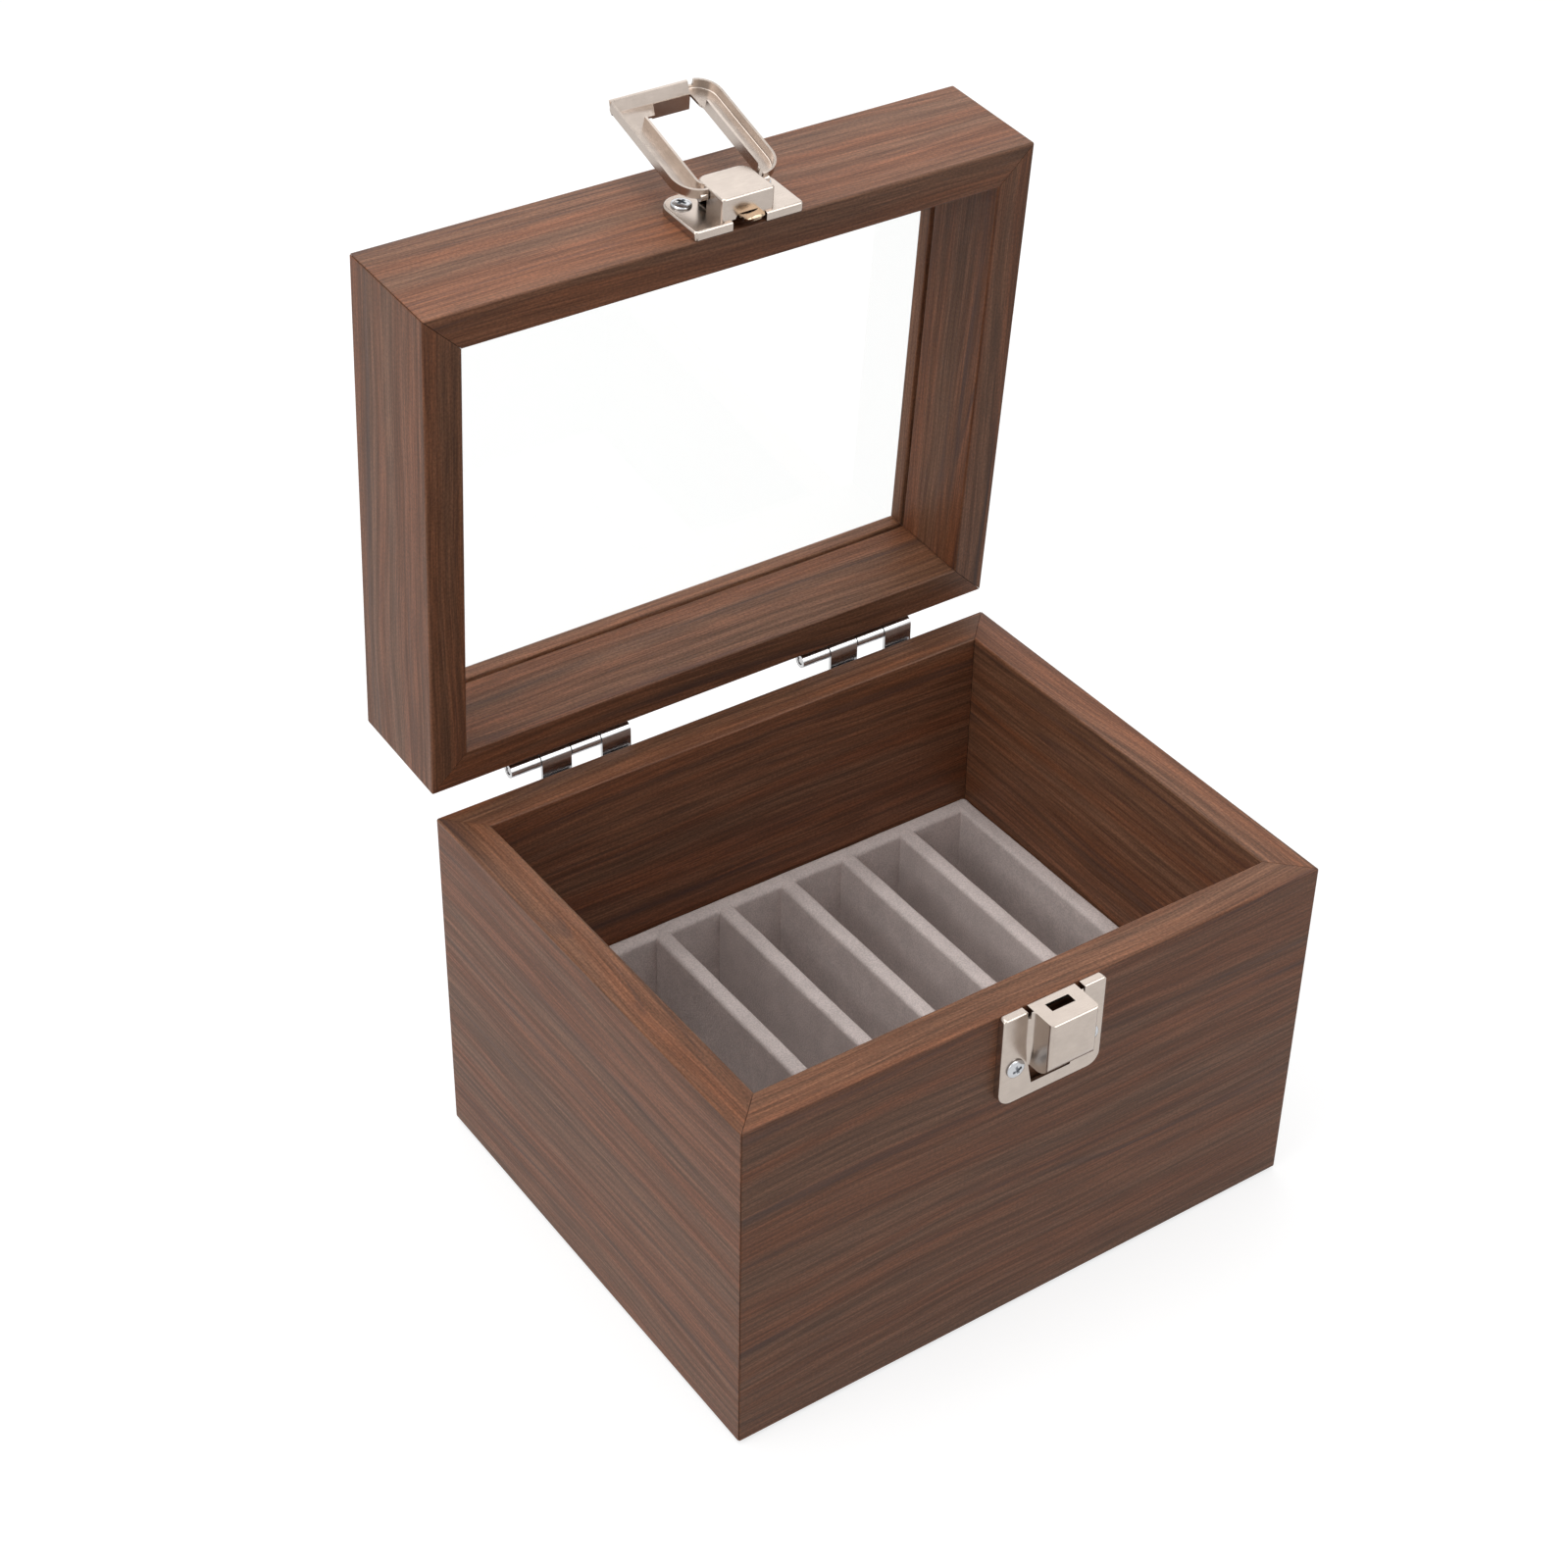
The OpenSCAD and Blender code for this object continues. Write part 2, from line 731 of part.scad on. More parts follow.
// Side view of the hook; x is out from the wood, y is up from the rim of the lid
module hook_side() {
    neck_top = hook_pin_up - 0.4;
    translate([hook_in, -hook_reach]) square([hook_t, neck_top + hook_reach]);
    translate([hook_in, -hook_reach]) square([hook_t + barb_out, barb_h]);
    translate([hook_pin_out, hook_pin_up]) circle(r = hook_eye_r);
    polygon([
        [hook_in, neck_top - 1.6], [hook_in + hook_t, neck_top - 1.6],
        [hook_pin_out + 0.6, hook_pin_up - 0.9], [hook_pin_out - 1.1, hook_pin_up + 0.6],
        [hook_in, neck_top]
    ]);
}

module clasp_hook() {
    color(nickel)
        on_lid()
            at_clasp(lid_z)
                difference() {
                    intersection() {
                        rotate([0, 0, -90]) along_x_centre(hook_w) hook_side();
                        translate([0, 1, -hook_reach])
                            press_out(10) corner_plate(hook_w, 20, hook_tip_r, hook_tip_r);
                    }
                    translate([-hook_w, -hook_pin_out, hook_pin_up])
                        rotate([0, 90, 0]) cylinder(r = hook_pin_r + fit, h = 2 * hook_w);
                }
}

module clasp_hook_pin() {
    color(chrome)
        on_lid()
            at_clasp(lid_z)
                translate([-catch_w / 2 + fit, -hook_pin_out, hook_pin_up])
                    rotate([0, 90, 0]) cylinder(r = hook_pin_r, h = catch_w - 2 * fit);
}

// Leaf spring that lies on the wood and bears on the back of the hook
module clasp_hook_spring() {
    top = catch_body_h - sheet_t - 0.4;
    bend = top - 1.6;
    tip = 3.2;
    reach = hook_in - 0.25;
    color(spring_steel)
        on_lid()
            at_clasp(lid_z)
                rotate([0, 0, -90])
                    along_x_centre(hook_w - 1)
                        polygon([
                            [0, top], [0, bend - 0.1], [reach - spring_t, tip], [reach, tip],
                            [spring_t, bend], [spring_t, top]
                        ]);
}

base_front_wall();
base_rear_wall();
base_left_wall();
base_right_wall();
base_bottom_board();
base_felt();
tray_floor();
tray_front_rail();
tray_rear_rail();
tray_left_rail();
tray_right_rail();
for (i = [1:divider_count])
    tray_divider(i);
base_leaf(-1);  // left_hinge_base_leaf
base_leaf(1);  // right_hinge_base_leaf
lid_leaf(-1);  // left_hinge_lid_leaf
lid_leaf(1);  // right_hinge_lid_leaf
hinge_pin(-1);  // left_hinge_pin
hinge_pin(1);  // right_hinge_pin
hinge_base_screws();
hinge_lid_screws();
keeper_plate();
keeper_screws();
lid_front_rail();
lid_rear_rail();
lid_left_rail();
lid_right_rail();
lid_pane();
catch_plate();
catch_screws();
clasp_bail();
clasp_hook();
clasp_hook_pin();
clasp_hook_spring();
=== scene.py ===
import math

import bmesh
import bpy
from mathutils import Matrix, Vector, noise


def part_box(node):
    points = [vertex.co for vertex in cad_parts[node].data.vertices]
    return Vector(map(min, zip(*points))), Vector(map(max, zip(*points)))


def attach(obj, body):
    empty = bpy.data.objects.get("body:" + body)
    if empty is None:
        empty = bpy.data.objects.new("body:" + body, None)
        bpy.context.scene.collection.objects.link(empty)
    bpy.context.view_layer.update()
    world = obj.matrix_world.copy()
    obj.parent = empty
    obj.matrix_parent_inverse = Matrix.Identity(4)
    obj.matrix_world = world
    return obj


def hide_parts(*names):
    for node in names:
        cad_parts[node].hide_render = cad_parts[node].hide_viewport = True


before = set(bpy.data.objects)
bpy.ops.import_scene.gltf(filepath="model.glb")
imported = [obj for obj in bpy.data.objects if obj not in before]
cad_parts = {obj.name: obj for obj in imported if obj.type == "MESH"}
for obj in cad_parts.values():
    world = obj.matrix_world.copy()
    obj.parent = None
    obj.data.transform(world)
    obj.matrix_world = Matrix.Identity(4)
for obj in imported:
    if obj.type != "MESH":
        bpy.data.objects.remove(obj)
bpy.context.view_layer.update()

scene = bpy.context.scene


# The base walls
# Four boards of fibreboard wrapped in printed walnut foil, mitred at the corners and glued.
# The foil's grain runs along each board and turns over its rim without a break.
MM = 0.001
BOARD_SOFT = 0.45
SEAM = 0.1
FOIL_RED = (0.188, 0.069, 0.031, 1)
FOIL_GREY = (0.166, 0.077, 0.042, 1)
FOIL_VEIN = (0.040, 0.026, 0.026, 1)
FOIL_GLOSS = 0.22
FOIL_EMBOSS = 0.00003
FOIL_STEP_ALONG = 310
FOIL_STEP_ROUND = 170
SIDES = {"front": (0, -1), "right": (1, 0), "rear": (0, 1), "left": (-1, 0)}


def node_box(node):
    """A CAD node's lowest and highest corners in millimetres."""
    low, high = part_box(node)
    return low / MM, high / MM


front_low, front_high = node_box("base_front_wall")
bottom_low, bottom_high = node_box("base_bottom_board")
HALF_W = front_high.x
HALF_D = -front_low.y
BASE_FOOT = front_low.z
BASE_RIM = front_high.z
WALL_T = front_high.y - front_low.y
BOTTOM_TOP = bottom_high.z
BOTTOM_IN = HALF_W - bottom_high.x


def set_inputs(tree, node, inputs):
    """Gives a node's inputs their plain values, or links sockets to them."""
    for socket, value in inputs.items():
        if isinstance(value, bpy.types.NodeSocket):
            tree.links.new(value, node.inputs[socket])
        else:
            node.inputs[socket].default_value = value


def add_node(tree, kind, inputs=None, **settings):
    """A shader node with its settings, its inputs given as plain values or as sockets to link."""
    node = tree.nodes.new("ShaderNode" + kind)
    for setting, value in settings.items():
        setattr(node, setting, value)
    set_inputs(tree, node, inputs or {})
    return node


def maths(tree, operation, first, second=0.5, third=0.5):
    """One sum on two or three numbers."""
    return add_node(tree, "Math", {0: first, 1: second, 2: third}, operation=operation).outputs[0]


def span(tree, value, low, high, out_low=0.0, out_high=1.0):
    """Spreads value from the range low to high over the range out_low to out_high, with soft ends."""
    inputs = {"Value": value, "From Min": low, "From Max": high, "To Min": out_low, "To Max": out_high}
    return add_node(tree, "MapRange", inputs, interpolation_type="SMOOTHSTEP").outputs["Result"]


def blend_colours(tree, amount, first, second, how="MIX"):
    """Blends two colours by an amount."""
    inputs = {0: amount, 6: first, 7: second}
    return add_node(tree, "Mix", inputs, data_type="RGBA", blend_type=how).outputs[2]


def cloud(tree, place, cells, detail=2.0, rough=0.5):
    """Soft noise from 0 to 1, with so many cells per metre each way."""
    scaled = add_node(tree, "Mapping", {"Vector": place, "Scale": cells}).outputs["Vector"]
    inputs = {"Vector": scaled, "Scale": 1.0, "Detail": detail, "Roughness": rough}
    return add_node(tree, "TexNoise", inputs).outputs["Fac"]


def toned(tree, colour, pattern, reach, strength):
    """A colour that a pattern makes lighter or darker by strength, sharply if its reach is small."""
    tone = span(tree, pattern, 0.5 - reach, 0.5 + reach, 1 - strength, 1 + strength)
    grey = add_node(tree, "CombineColor", {0: tone, 1: tone, 2: tone}).outputs["Color"]
    return blend_colours(tree, 1.0, colour, grey, "MULTIPLY")


def node_group(name, takes, gives):
    """An empty shader node group with named inputs and outputs."""
    group = bpy.data.node_groups.new(name, "ShaderNodeTree")
    for label, kind in takes:
        group.interface.new_socket(name=label, in_out="INPUT", socket_type="NodeSocket" + kind)
    for label, kind in gives:
        group.interface.new_socket(name=label, in_out="OUTPUT", socket_type="NodeSocket" + kind)
    given = group.nodes.new("NodeGroupInput")
    result = group.nodes.new("NodeGroupOutput")
    return group, given.outputs, result


DRIFT_CELLS = (6, 16, 1)
DRIFT_SWAY = 0.014
ZONE_CELLS = (5, 130, 1)
RIPPLE_CELLS = (15, 760, 1)
RIPPLE_TONE = 0.24
THREAD_CELLS = (70, 2600, 1)
THREAD_TONE = 0.22
SPECK_CELLS = (1500, 2300, 1)
SPECK_TONE = 0.2
LINE_CELLS = (5, 260, 1)
LINE_DARK = 0.5
CONTOUR_CELLS = (4, 42, 1)
CONTOUR_TURNS = 70.0
VEIN_CELLS = (8, 45, 1)
VEIN_DARK = 0.6
PORE_CELLS = (190, 3600, 1)
PORE_DARK = 0.3


def foil_grain_group():
    """Printed walnut: soft red and grey zones, fine ripples, long dark lines and a few veins."""
    group, given, result = node_group(
        "foil_grain",
        [("Place", "Vector"), ("Red", "Color"), ("Grey", "Color"), ("Vein", "Color")],
        [("Color", "Color"), ("Roughness", "Float"), ("Height", "Float")],
    )
    place = given["Place"]
    drift = cloud(group, place, DRIFT_CELLS)
    swing = maths(group, "MULTIPLY", maths(group, "SUBTRACT", drift, 0.5), DRIFT_SWAY)
    sideways = add_node(group, "CombineXYZ", {"Y": swing}).outputs["Vector"]
    grain = add_node(group, "VectorMath", {0: place, 1: sideways}, operation="ADD").outputs["Vector"]

    zones = cloud(group, grain, ZONE_CELLS, 3, 0.55)
    ripples = cloud(group, grain, RIPPLE_CELLS, 3, 0.6)
    threads = cloud(group, grain, THREAD_CELLS)
    specks = cloud(group, place, SPECK_CELLS)
    colour = blend_colours(group, span(group, zones, 0.36, 0.64), given["Grey"], given["Red"])
    colour = toned(group, colour, ripples, 0.14, RIPPLE_TONE)
    colour = toned(group, colour, threads, 0.14, THREAD_TONE)
    colour = toned(group, colour, specks, 0.2, SPECK_TONE)

    lines = span(group, cloud(group, grain, LINE_CELLS, 3, 0.6), 0.55, 0.7)
    contour = cloud(group, grain, CONTOUR_CELLS, 2, 0.45)
    wave = maths(group, "SINE", maths(group, "MULTIPLY", contour, CONTOUR_TURNS))
    where = cloud(group, place, VEIN_CELLS)
    vein = maths(group, "MULTIPLY", span(group, wave, 0.78, 1.0), span(group, where, 0.52, 0.7))
    pores = span(group, cloud(group, grain, PORE_CELLS, 1), 0.64, 0.76)
    for marks, dark in ((lines, LINE_DARK), (vein, VEIN_DARK), (pores, PORE_DARK)):
        colour = blend_colours(group, maths(group, "MULTIPLY", marks, dark), colour, given["Vein"])
    dip = maths(group, "ADD", pores, maths(group, "MULTIPLY", vein, 0.5))

    set_inputs(group, result, {
        "Color": colour,
        "Roughness": span(group, ripples, 0.2, 0.8, 0.52, 0.4),
        "Height": maths(group, "SUBTRACT", threads, dip),
    })
    return group


def new_material(name):
    """A material with its Principled shader, and the node tree they are in."""
    material = bpy.data.materials.new(name)
    material.use_nodes = True
    return material, material.node_tree, material.node_tree.nodes["Principled BSDF"]


def bump_from(tree, height, depth):
    """The normal of a surface that height raises by up to depth metres."""
    inputs = {"Height": height, "Distance": depth, "Strength": 1.0}
    return add_node(tree, "Bump", inputs).outputs["Normal"]


foil_grain = foil_grain_group()
foil, foil_tree, foil_shader = new_material("walnut_foil")
foil_place = add_node(foil_tree, "UVMap", uv_map="foil").outputs["UV"]
foil_given = {"Place": foil_place, "Red": FOIL_RED, "Grey": FOIL_GREY, "Vein": FOIL_VEIN}
foil_look = add_node(foil_tree, "Group", foil_given, node_tree=foil_grain).outputs
set_inputs(foil_tree, foil_shader, {
    "Base Color": foil_look["Color"],
    "Roughness": foil_look["Roughness"],
    "Normal": bump_from(foil_tree, foil_look["Height"], FOIL_EMBOSS),
    "Specular IOR Level": FOIL_GLOSS,
})


def closed_loop(mesh, points):
    """A closed run of edges through the points."""
    verts = [mesh.verts.new(point) for point in points]
    edges = [mesh.edges.new(pair) for pair in zip(verts, verts[1:] + verts[:1])]
    return verts + edges


def sharp_edges(mesh, least=30):
    """Outward edges at which two faces meet at more than least degrees."""
    solid = [edge for edge in mesh.edges if edge.is_manifold and edge.is_convex]
    return [edge for edge in solid if edge.calc_face_angle(0) > math.radians(least)]


def soften(mesh, edges, width, segments=3):
    """Rounds edges over."""
    bmesh.ops.bevel(
        mesh, geom=edges, offset=width, offset_type="OFFSET", affect="EDGES",
        segments=segments, profile=0.5, material=-1, clamp_overlap=True,
    )


def mitred_frame(outline):
    """The four boards as one ring: their outline, in from the outside and up, spun round the box."""
    ring = bmesh.new()
    corner = closed_loop(ring, [(HALF_D - inward, HALF_D - inward, up) for inward, up in outline])
    bmesh.ops.spin(
        ring, geom=corner, cent=(0, 0, 0), axis=(0, 0, 1), angle=2 * math.pi, steps=4, use_merge=True,
    )
    for vert in ring.verts:
        vert.co.x += math.copysign(HALF_W - HALF_D, vert.co.x)
    bmesh.ops.recalc_face_normals(ring, faces=ring.faces)
    soften(ring, sharp_edges(ring), BOARD_SOFT)
    return ring


def board_from(ring, side):
    """One board of the ring, cut off just short of both mitres, and its ends closed."""
    board = ring.copy()
    out = Vector((*SIDES[side], 0))
    along = Vector((-out.y, out.x, 0))
    half_out = HALF_W if out.x else HALF_D
    half_along = HALF_D if out.x else HALF_W
    for end in (-1, 1):
        away = (along * end - out).normalized()
        corner = out * half_out + along * end * half_along - away * SEAM / 2
        everything = board.verts[:] + board.edges[:] + board.faces[:]
        bmesh.ops.bisect_plane(
            board, geom=everything, plane_co=corner, plane_no=away, clear_outer=True,
        )
    bmesh.ops.holes_fill(board, edges=[edge for edge in board.edges if edge.is_boundary])
    bmesh.ops.recalc_face_normals(board, faces=board.faces)
    return board, out, along, half_out


def wrap_foil(board, out, along, half_out, foot, rim, sheet):
    """Lays a sheet of foil on a board, in metres: along the grain, then round from the outer face."""
    foil_map = board.loops.layers.uv.new("foil")
    for face in board.faces:
        facing_out = face.normal.dot(out)
        for loop in face.loops:
            place = loop.vert.co
            inward = half_out - place.dot(out)
            if abs(face.normal.z) > abs(facing_out):
                girth = rim + inward if face.normal.z > 0 else foot - inward
            elif facing_out > 0:
                girth = place.z
            else:
                girth = rim + inward + rim - place.z
            girth += sheet * FOIL_STEP_ROUND
            loop[foil_map].uv = ((place.dot(along) + sheet * FOIL_STEP_ALONG) * MM, girth * MM)


def finish_piece(mesh, name, body, material, nodes, smooth=40, flat=True):
    """Makes a mesh drawn in millimetres a piece in metres, which rides on a body for its nodes."""
    bmesh.ops.scale(mesh, vec=(MM, MM, MM), verts=mesh.verts)
    data = bpy.data.meshes.new(name)
    mesh.to_mesh(data)
    mesh.free()
    data.materials.append(material)
    data.shade_smooth()
    data.set_sharp_from_angle(angle=math.radians(smooth))
    piece = bpy.data.objects.new(name, data)
    scene.collection.objects.link(piece)
    if flat:  # the large faces look flat, and only the rounded edges between them look round
        piece.modifiers.new("flat_faces", "WEIGHTED_NORMAL").keep_sharp = True
    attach(piece, body)
    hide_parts(*nodes)
    return piece


base_ring = mitred_frame([
    (0, BASE_FOOT), (BOTTOM_IN, BASE_FOOT), (BOTTOM_IN, BOTTOM_TOP),
    (WALL_T, BOTTOM_TOP), (WALL_T, BASE_RIM), (0, BASE_RIM),
])
for sheet, side in enumerate(SIDES):
    board, out, along, half_out = board_from(base_ring, side)
    wrap_foil(board, out, along, half_out, BASE_FOOT, BASE_RIM, sheet)
    finish_piece(board, f"base_{side}_board", "base", foil, [f"base_{side}_wall"])
base_ring.free()


# The bottom board and the felt
# A thin foiled board let into a rebate in the walls, with a black needled felt glued under it
# to keep the box from scratching what it stands on.
FELT_BLACK = (0.012, 0.011, 0.012, 1)
FELT_SHEEN = 0.05
FELT_PILE = 0.00015
FELT_SOFT = 0.3
BOTTOM_CLEAR = 0.05
BOTTOM_SOFT = 0.2
LEAN_CELLS = (140, 140, 140)
LEAN_TONE = 0.07
FIBRE_CELLS = (2600, 2600, 2600)
FIBRE_TONE = 0.14
PILE_GLOSS = 0.05
SHEEN_SPREAD = 0.45
SHEEN_TINT = (1.0, 0.94, 0.91, 1)


def plain_block(low, high):
    """A block with square edges between two corners."""
    low = Vector(low)
    high = Vector(high)
    block = bmesh.new()
    bmesh.ops.create_cube(block, size=1)
    bmesh.ops.scale(block, vec=high - low, verts=block.verts)
    bmesh.ops.translate(block, vec=(low + high) / 2, verts=block.verts)
    return block


def soft_block(low, high, soft, segments=3, cuts=0):
    """A block between two corners with every edge rounded, and cuts made across its long edges."""
    block = plain_block(low, high)
    soften(block, block.edges[:], soft, segments)
    if cuts:
        long_edges = [edge for edge in block.edges if edge.calc_length() > 4 * soft]
        bmesh.ops.subdivide_edges(block, edges=long_edges, cuts=cuts, use_grid_fill=True)
    return block


def nap_group():
    """The pile of felt or velvet: clumps that lean one way or another, and fine loose fibres."""
    group, given, result = node_group(
        "nap", [("Place", "Vector"), ("Pile", "Color")], [("Color", "Color"), ("Height", "Float")],
    )
    place = given["Place"]
    lean = cloud(group, place, LEAN_CELLS, 3, 0.6)
    fibres = cloud(group, place, FIBRE_CELLS, 2, 0.6)
    colour = toned(group, given["Pile"], lean, 0.2, LEAN_TONE)
    colour = toned(group, colour, fibres, 0.2, FIBRE_TONE)
    rise = maths(group, "ADD", fibres, maths(group, "MULTIPLY", lean, 2.0))
    set_inputs(group, result, {"Color": colour, "Height": rise})
    return group


nap = nap_group()


def pile_material(name, colour, sheen, depth):
    """A cloth with a pile of some depth: dull, with a pale sheen at its edges."""
    material, tree, shader = new_material(name)
    place = add_node(tree, "TexCoord").outputs["Object"]
    look = add_node(tree, "Group", {"Place": place, "Pile": colour}, node_tree=nap).outputs
    set_inputs(tree, shader, {
        "Base Color": look["Color"],
        "Normal": bump_from(tree, look["Height"], depth),
        "Roughness": 1.0,
        "Specular IOR Level": PILE_GLOSS,
        "Sheen Weight": sheen,
        "Sheen Roughness": SHEEN_SPREAD,
        "Sheen Tint": SHEEN_TINT,
    })
    return material


felt = pile_material("black_felt", FELT_BLACK, FELT_SHEEN, FELT_PILE)

step_in = Vector((BOTTOM_CLEAR, BOTTOM_CLEAR, 0))
bottom = soft_block(bottom_low + step_in, bottom_high - step_in, BOTTOM_SOFT)
wrap_foil(bottom, Vector((0, -1, 0)), Vector((1, 0, 0)), HALF_D, BASE_FOOT, BOTTOM_TOP, len(SIDES))
finish_piece(bottom, "bottom_board", "base", foil, ["base_bottom_board"])
felt_pad = soft_block(*node_box("base_felt"), FELT_SOFT)
finish_piece(felt_pad, "felt_pad", "base", felt, ["base_felt"])


# The ring tray
# A loose tray of thin boards, each wrapped in warm grey velvet before it is glued up, so all
# its edges are round and soft. Six dividers leave seven slots that grip the rings.
VELVET_GREY = (0.640, 0.560, 0.535, 1)
VELVET_SHEEN = 0.6
VELVET_PILE = 0.0001
VELVET_SOFT = 1.1
VELVET_CUTS = 14
VELVET_SWELL = 0.09
SWELL_WIDE = 0.35
SWELL_FINE = 1.1
SWELL_FINE_SHARE = 0.6
TRAY_LET_IN = Vector((0, 2.4, 0))
TRAY_SUNK = 0.06
velvet = pile_material("grey_velvet", VELVET_GREY, VELVET_SHEEN, VELVET_PILE)


def velvet_board(node, piece, grow=Vector((0, 0, 0)), sink=0.0):
    """A velvet-wrapped board in a CAD node's place, grown at its ends into its neighbours."""
    low, high = node_box(node)
    top = Vector((0, 0, sink))
    board = soft_block(low - grow, high + grow - top, VELVET_SOFT, 4, VELVET_CUTS)
    for vert in board.verts:
        swell = noise.noise(vert.co * SWELL_WIDE)
        swell += SWELL_FINE_SHARE * noise.noise(vert.co * SWELL_FINE)
        vert.co += vert.normal * VELVET_SWELL * (swell - 0.5)
    finish_piece(board, piece, "base", velvet, [node], smooth=70, flat=False)


velvet_board("tray_floor", "tray_floor_cloth")
for side in ("front", "rear"):
    velvet_board(f"tray_{side}_rail", f"tray_{side}_strip")
for side in ("left", "right"):
    velvet_board(f"tray_{side}_rail", f"tray_{side}_strip", TRAY_LET_IN, TRAY_SUNK)
divider_nodes = [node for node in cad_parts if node.startswith("tray_divider_")]
for node in divider_nodes:
    velvet_board(node, node.replace("divider", "velvet_divider"), TRAY_LET_IN, TRAY_SUNK)


# The lid rails
# Four foiled rails, mitred like the base, grooved for the pane, and bevelled round the window.
# The lid is drawn shut and then turned about the hinge pins to where it stands open.
LID_H = 27.6
LID_GAP = 0.5
LID_Z = BASE_RIM + LID_GAP
PANE_UP = 19.7
GROOVE_DEEP = 2.6
GROOVE_WIDE = 1.8
WINDOW_BEVEL = 2.7
AXIS_OUT = 3.0
AXIS_UP = 2.4
AXIS_Y = HALF_D + AXIS_OUT
AXIS_Z = BASE_RIM + AXIS_UP
OPEN_ANGLE = 85.7
axis_place = Matrix.Translation((0, AXIS_Y, AXIS_Z))
LID_OPEN = axis_place @ Matrix.Rotation(math.radians(-OPEN_ANGLE), 4, "X") @ axis_place.inverted()

lid_ring = mitred_frame([
    (0, LID_Z), (WALL_T, LID_Z),
    (WALL_T, LID_Z + PANE_UP), (WALL_T - GROOVE_DEEP, LID_Z + PANE_UP),
    (WALL_T - GROOVE_DEEP, LID_Z + PANE_UP + GROOVE_WIDE), (WALL_T, LID_Z + PANE_UP + GROOVE_WIDE),
    (WALL_T, LID_Z + LID_H - WINDOW_BEVEL), (WALL_T - WINDOW_BEVEL, LID_Z + LID_H),
    (0, LID_Z + LID_H),
])
for sheet, side in enumerate(SIDES, len(SIDES) + 1):
    rail, out, along, half_out = board_from(lid_ring, side)
    wrap_foil(rail, out, along, half_out, LID_Z, LID_Z + LID_H, sheet)
    bmesh.ops.transform(rail, matrix=LID_OPEN, verts=rail.verts)
    finish_piece(rail, f"lid_{side}_board", "lid", foil, [f"lid_{side}_rail"])
lid_ring.free()


# The pane
# Clear float glass with ground edges and a little dust, held in the rails' groove. It hardly
# keeps the light off the tray when the lid is shut, so it casts only a faint shadow.
PANE_T = 1.5
PANE_CLEAR = 0.15
PANE_GRIND = 0.25
GLASS_TINT = (0.985, 0.995, 0.99, 1)
GLASS_SHADE = 0.1
GLASS_HAZE = 0.006
DUST_CELLS = (60, 60, 60)
glass, glass_tree, glass_shader = new_material("clear_glass")
glass_place = add_node(glass_tree, "TexCoord").outputs["Object"]
glass_dust = cloud(glass_tree, glass_place, DUST_CELLS, 4, 0.7)
glass_shadow = add_node(glass_tree, "LightPath").outputs["Is Shadow Ray"]
set_inputs(glass_tree, glass_shader, {
    "Base Color": GLASS_TINT,
    "Roughness": span(glass_tree, glass_dust, 0.5, 0.8, 0.0, GLASS_HAZE),
    "Metallic": 0.0,
    "Transmission Weight": 1.0,
    "IOR": 1.5,
    "Alpha": span(glass_tree, glass_shadow, 0.0, 1.0, 1.0, GLASS_SHADE),
})

pane_reach = GROOVE_DEEP - PANE_CLEAR - WALL_T
pane_low = Vector((-HALF_W - pane_reach, -HALF_D - pane_reach, LID_Z + PANE_UP + PANE_CLEAR))
pane_high = Vector((HALF_W + pane_reach, HALF_D + pane_reach, pane_low.z + PANE_T))
pane = soft_block(pane_low, pane_high, PANE_GRIND, 2)
bmesh.ops.transform(pane, matrix=LID_OPEN, verts=pane.verts)
finish_piece(pane, "glass_pane", "lid", glass, ["lid_pane"], smooth=20)


# The hinges
# Two butt hinges of bright plated steel. Each leaf is one strip screwed to the wood, and its two
# straps are rolled round the pin, so that the barrels of both leaves take turns along it.
HINGE_LOW, HINGE_HIGH = node_box("right_hinge_base_leaf")
HINGE_X = (HINGE_LOW.x + HINGE_HIGH.x) / 2
HINGE_LEN = HINGE_HIGH.x - HINGE_LOW.x
KNUCKLE_R = 1.6
KNUCKLE_BORE = 0.83
KNUCKLE_GAP = 0.2
KNUCKLE_LEN = (HINGE_LEN - 3 * KNUCKLE_GAP) / 4
CURL_START = 180
CURL_TURN = 300
CURL_STEPS = 22
LEAF_T = 0.9
LEAF_TOP = -3.7
LEAF_FOOT = -13.0
LEAF_CORNER = 0.8
STRAP_FOOT = -5.9
STRAP_HEAD = -4.7
STRAP_TUCK = 0.3
LEAF_SCREW_X = 9.0
LEAF_SCREW_Z = LEAF_FOOT + 4.6
HINGE_PIN_SOFT = 0.25
HINGE_HEAD_R = 1.8
HEAD_H = 0.8
HEAD_EDGE = 0.28
HEAD_RIM = 0.1
HEAD_STEPS = 6
SHANK_R = 0.9
SHANK_LEN = 6.0
SHANK_POINT = 1
HOLE_R = SHANK_R + 0.05
SCREW_TURN = 20
RECESS_LEN = 0.7
RECESS_HALF = 0.16
RECESS_FOOT = 0.1
RECESS_TAPER = 0.6
METAL_SOFT = 0.12
BRIGHT = (0.54, 0.535, 0.54, 1)
ZINC = (0.52, 0.53, 0.55, 1)
MOTTLE_CELLS = (300, 300, 300)
MOTTLE_TONE = 0.04
ROLLING_CELLS = (400, 5000, 5000)
ROLLING_TONE = 0.025


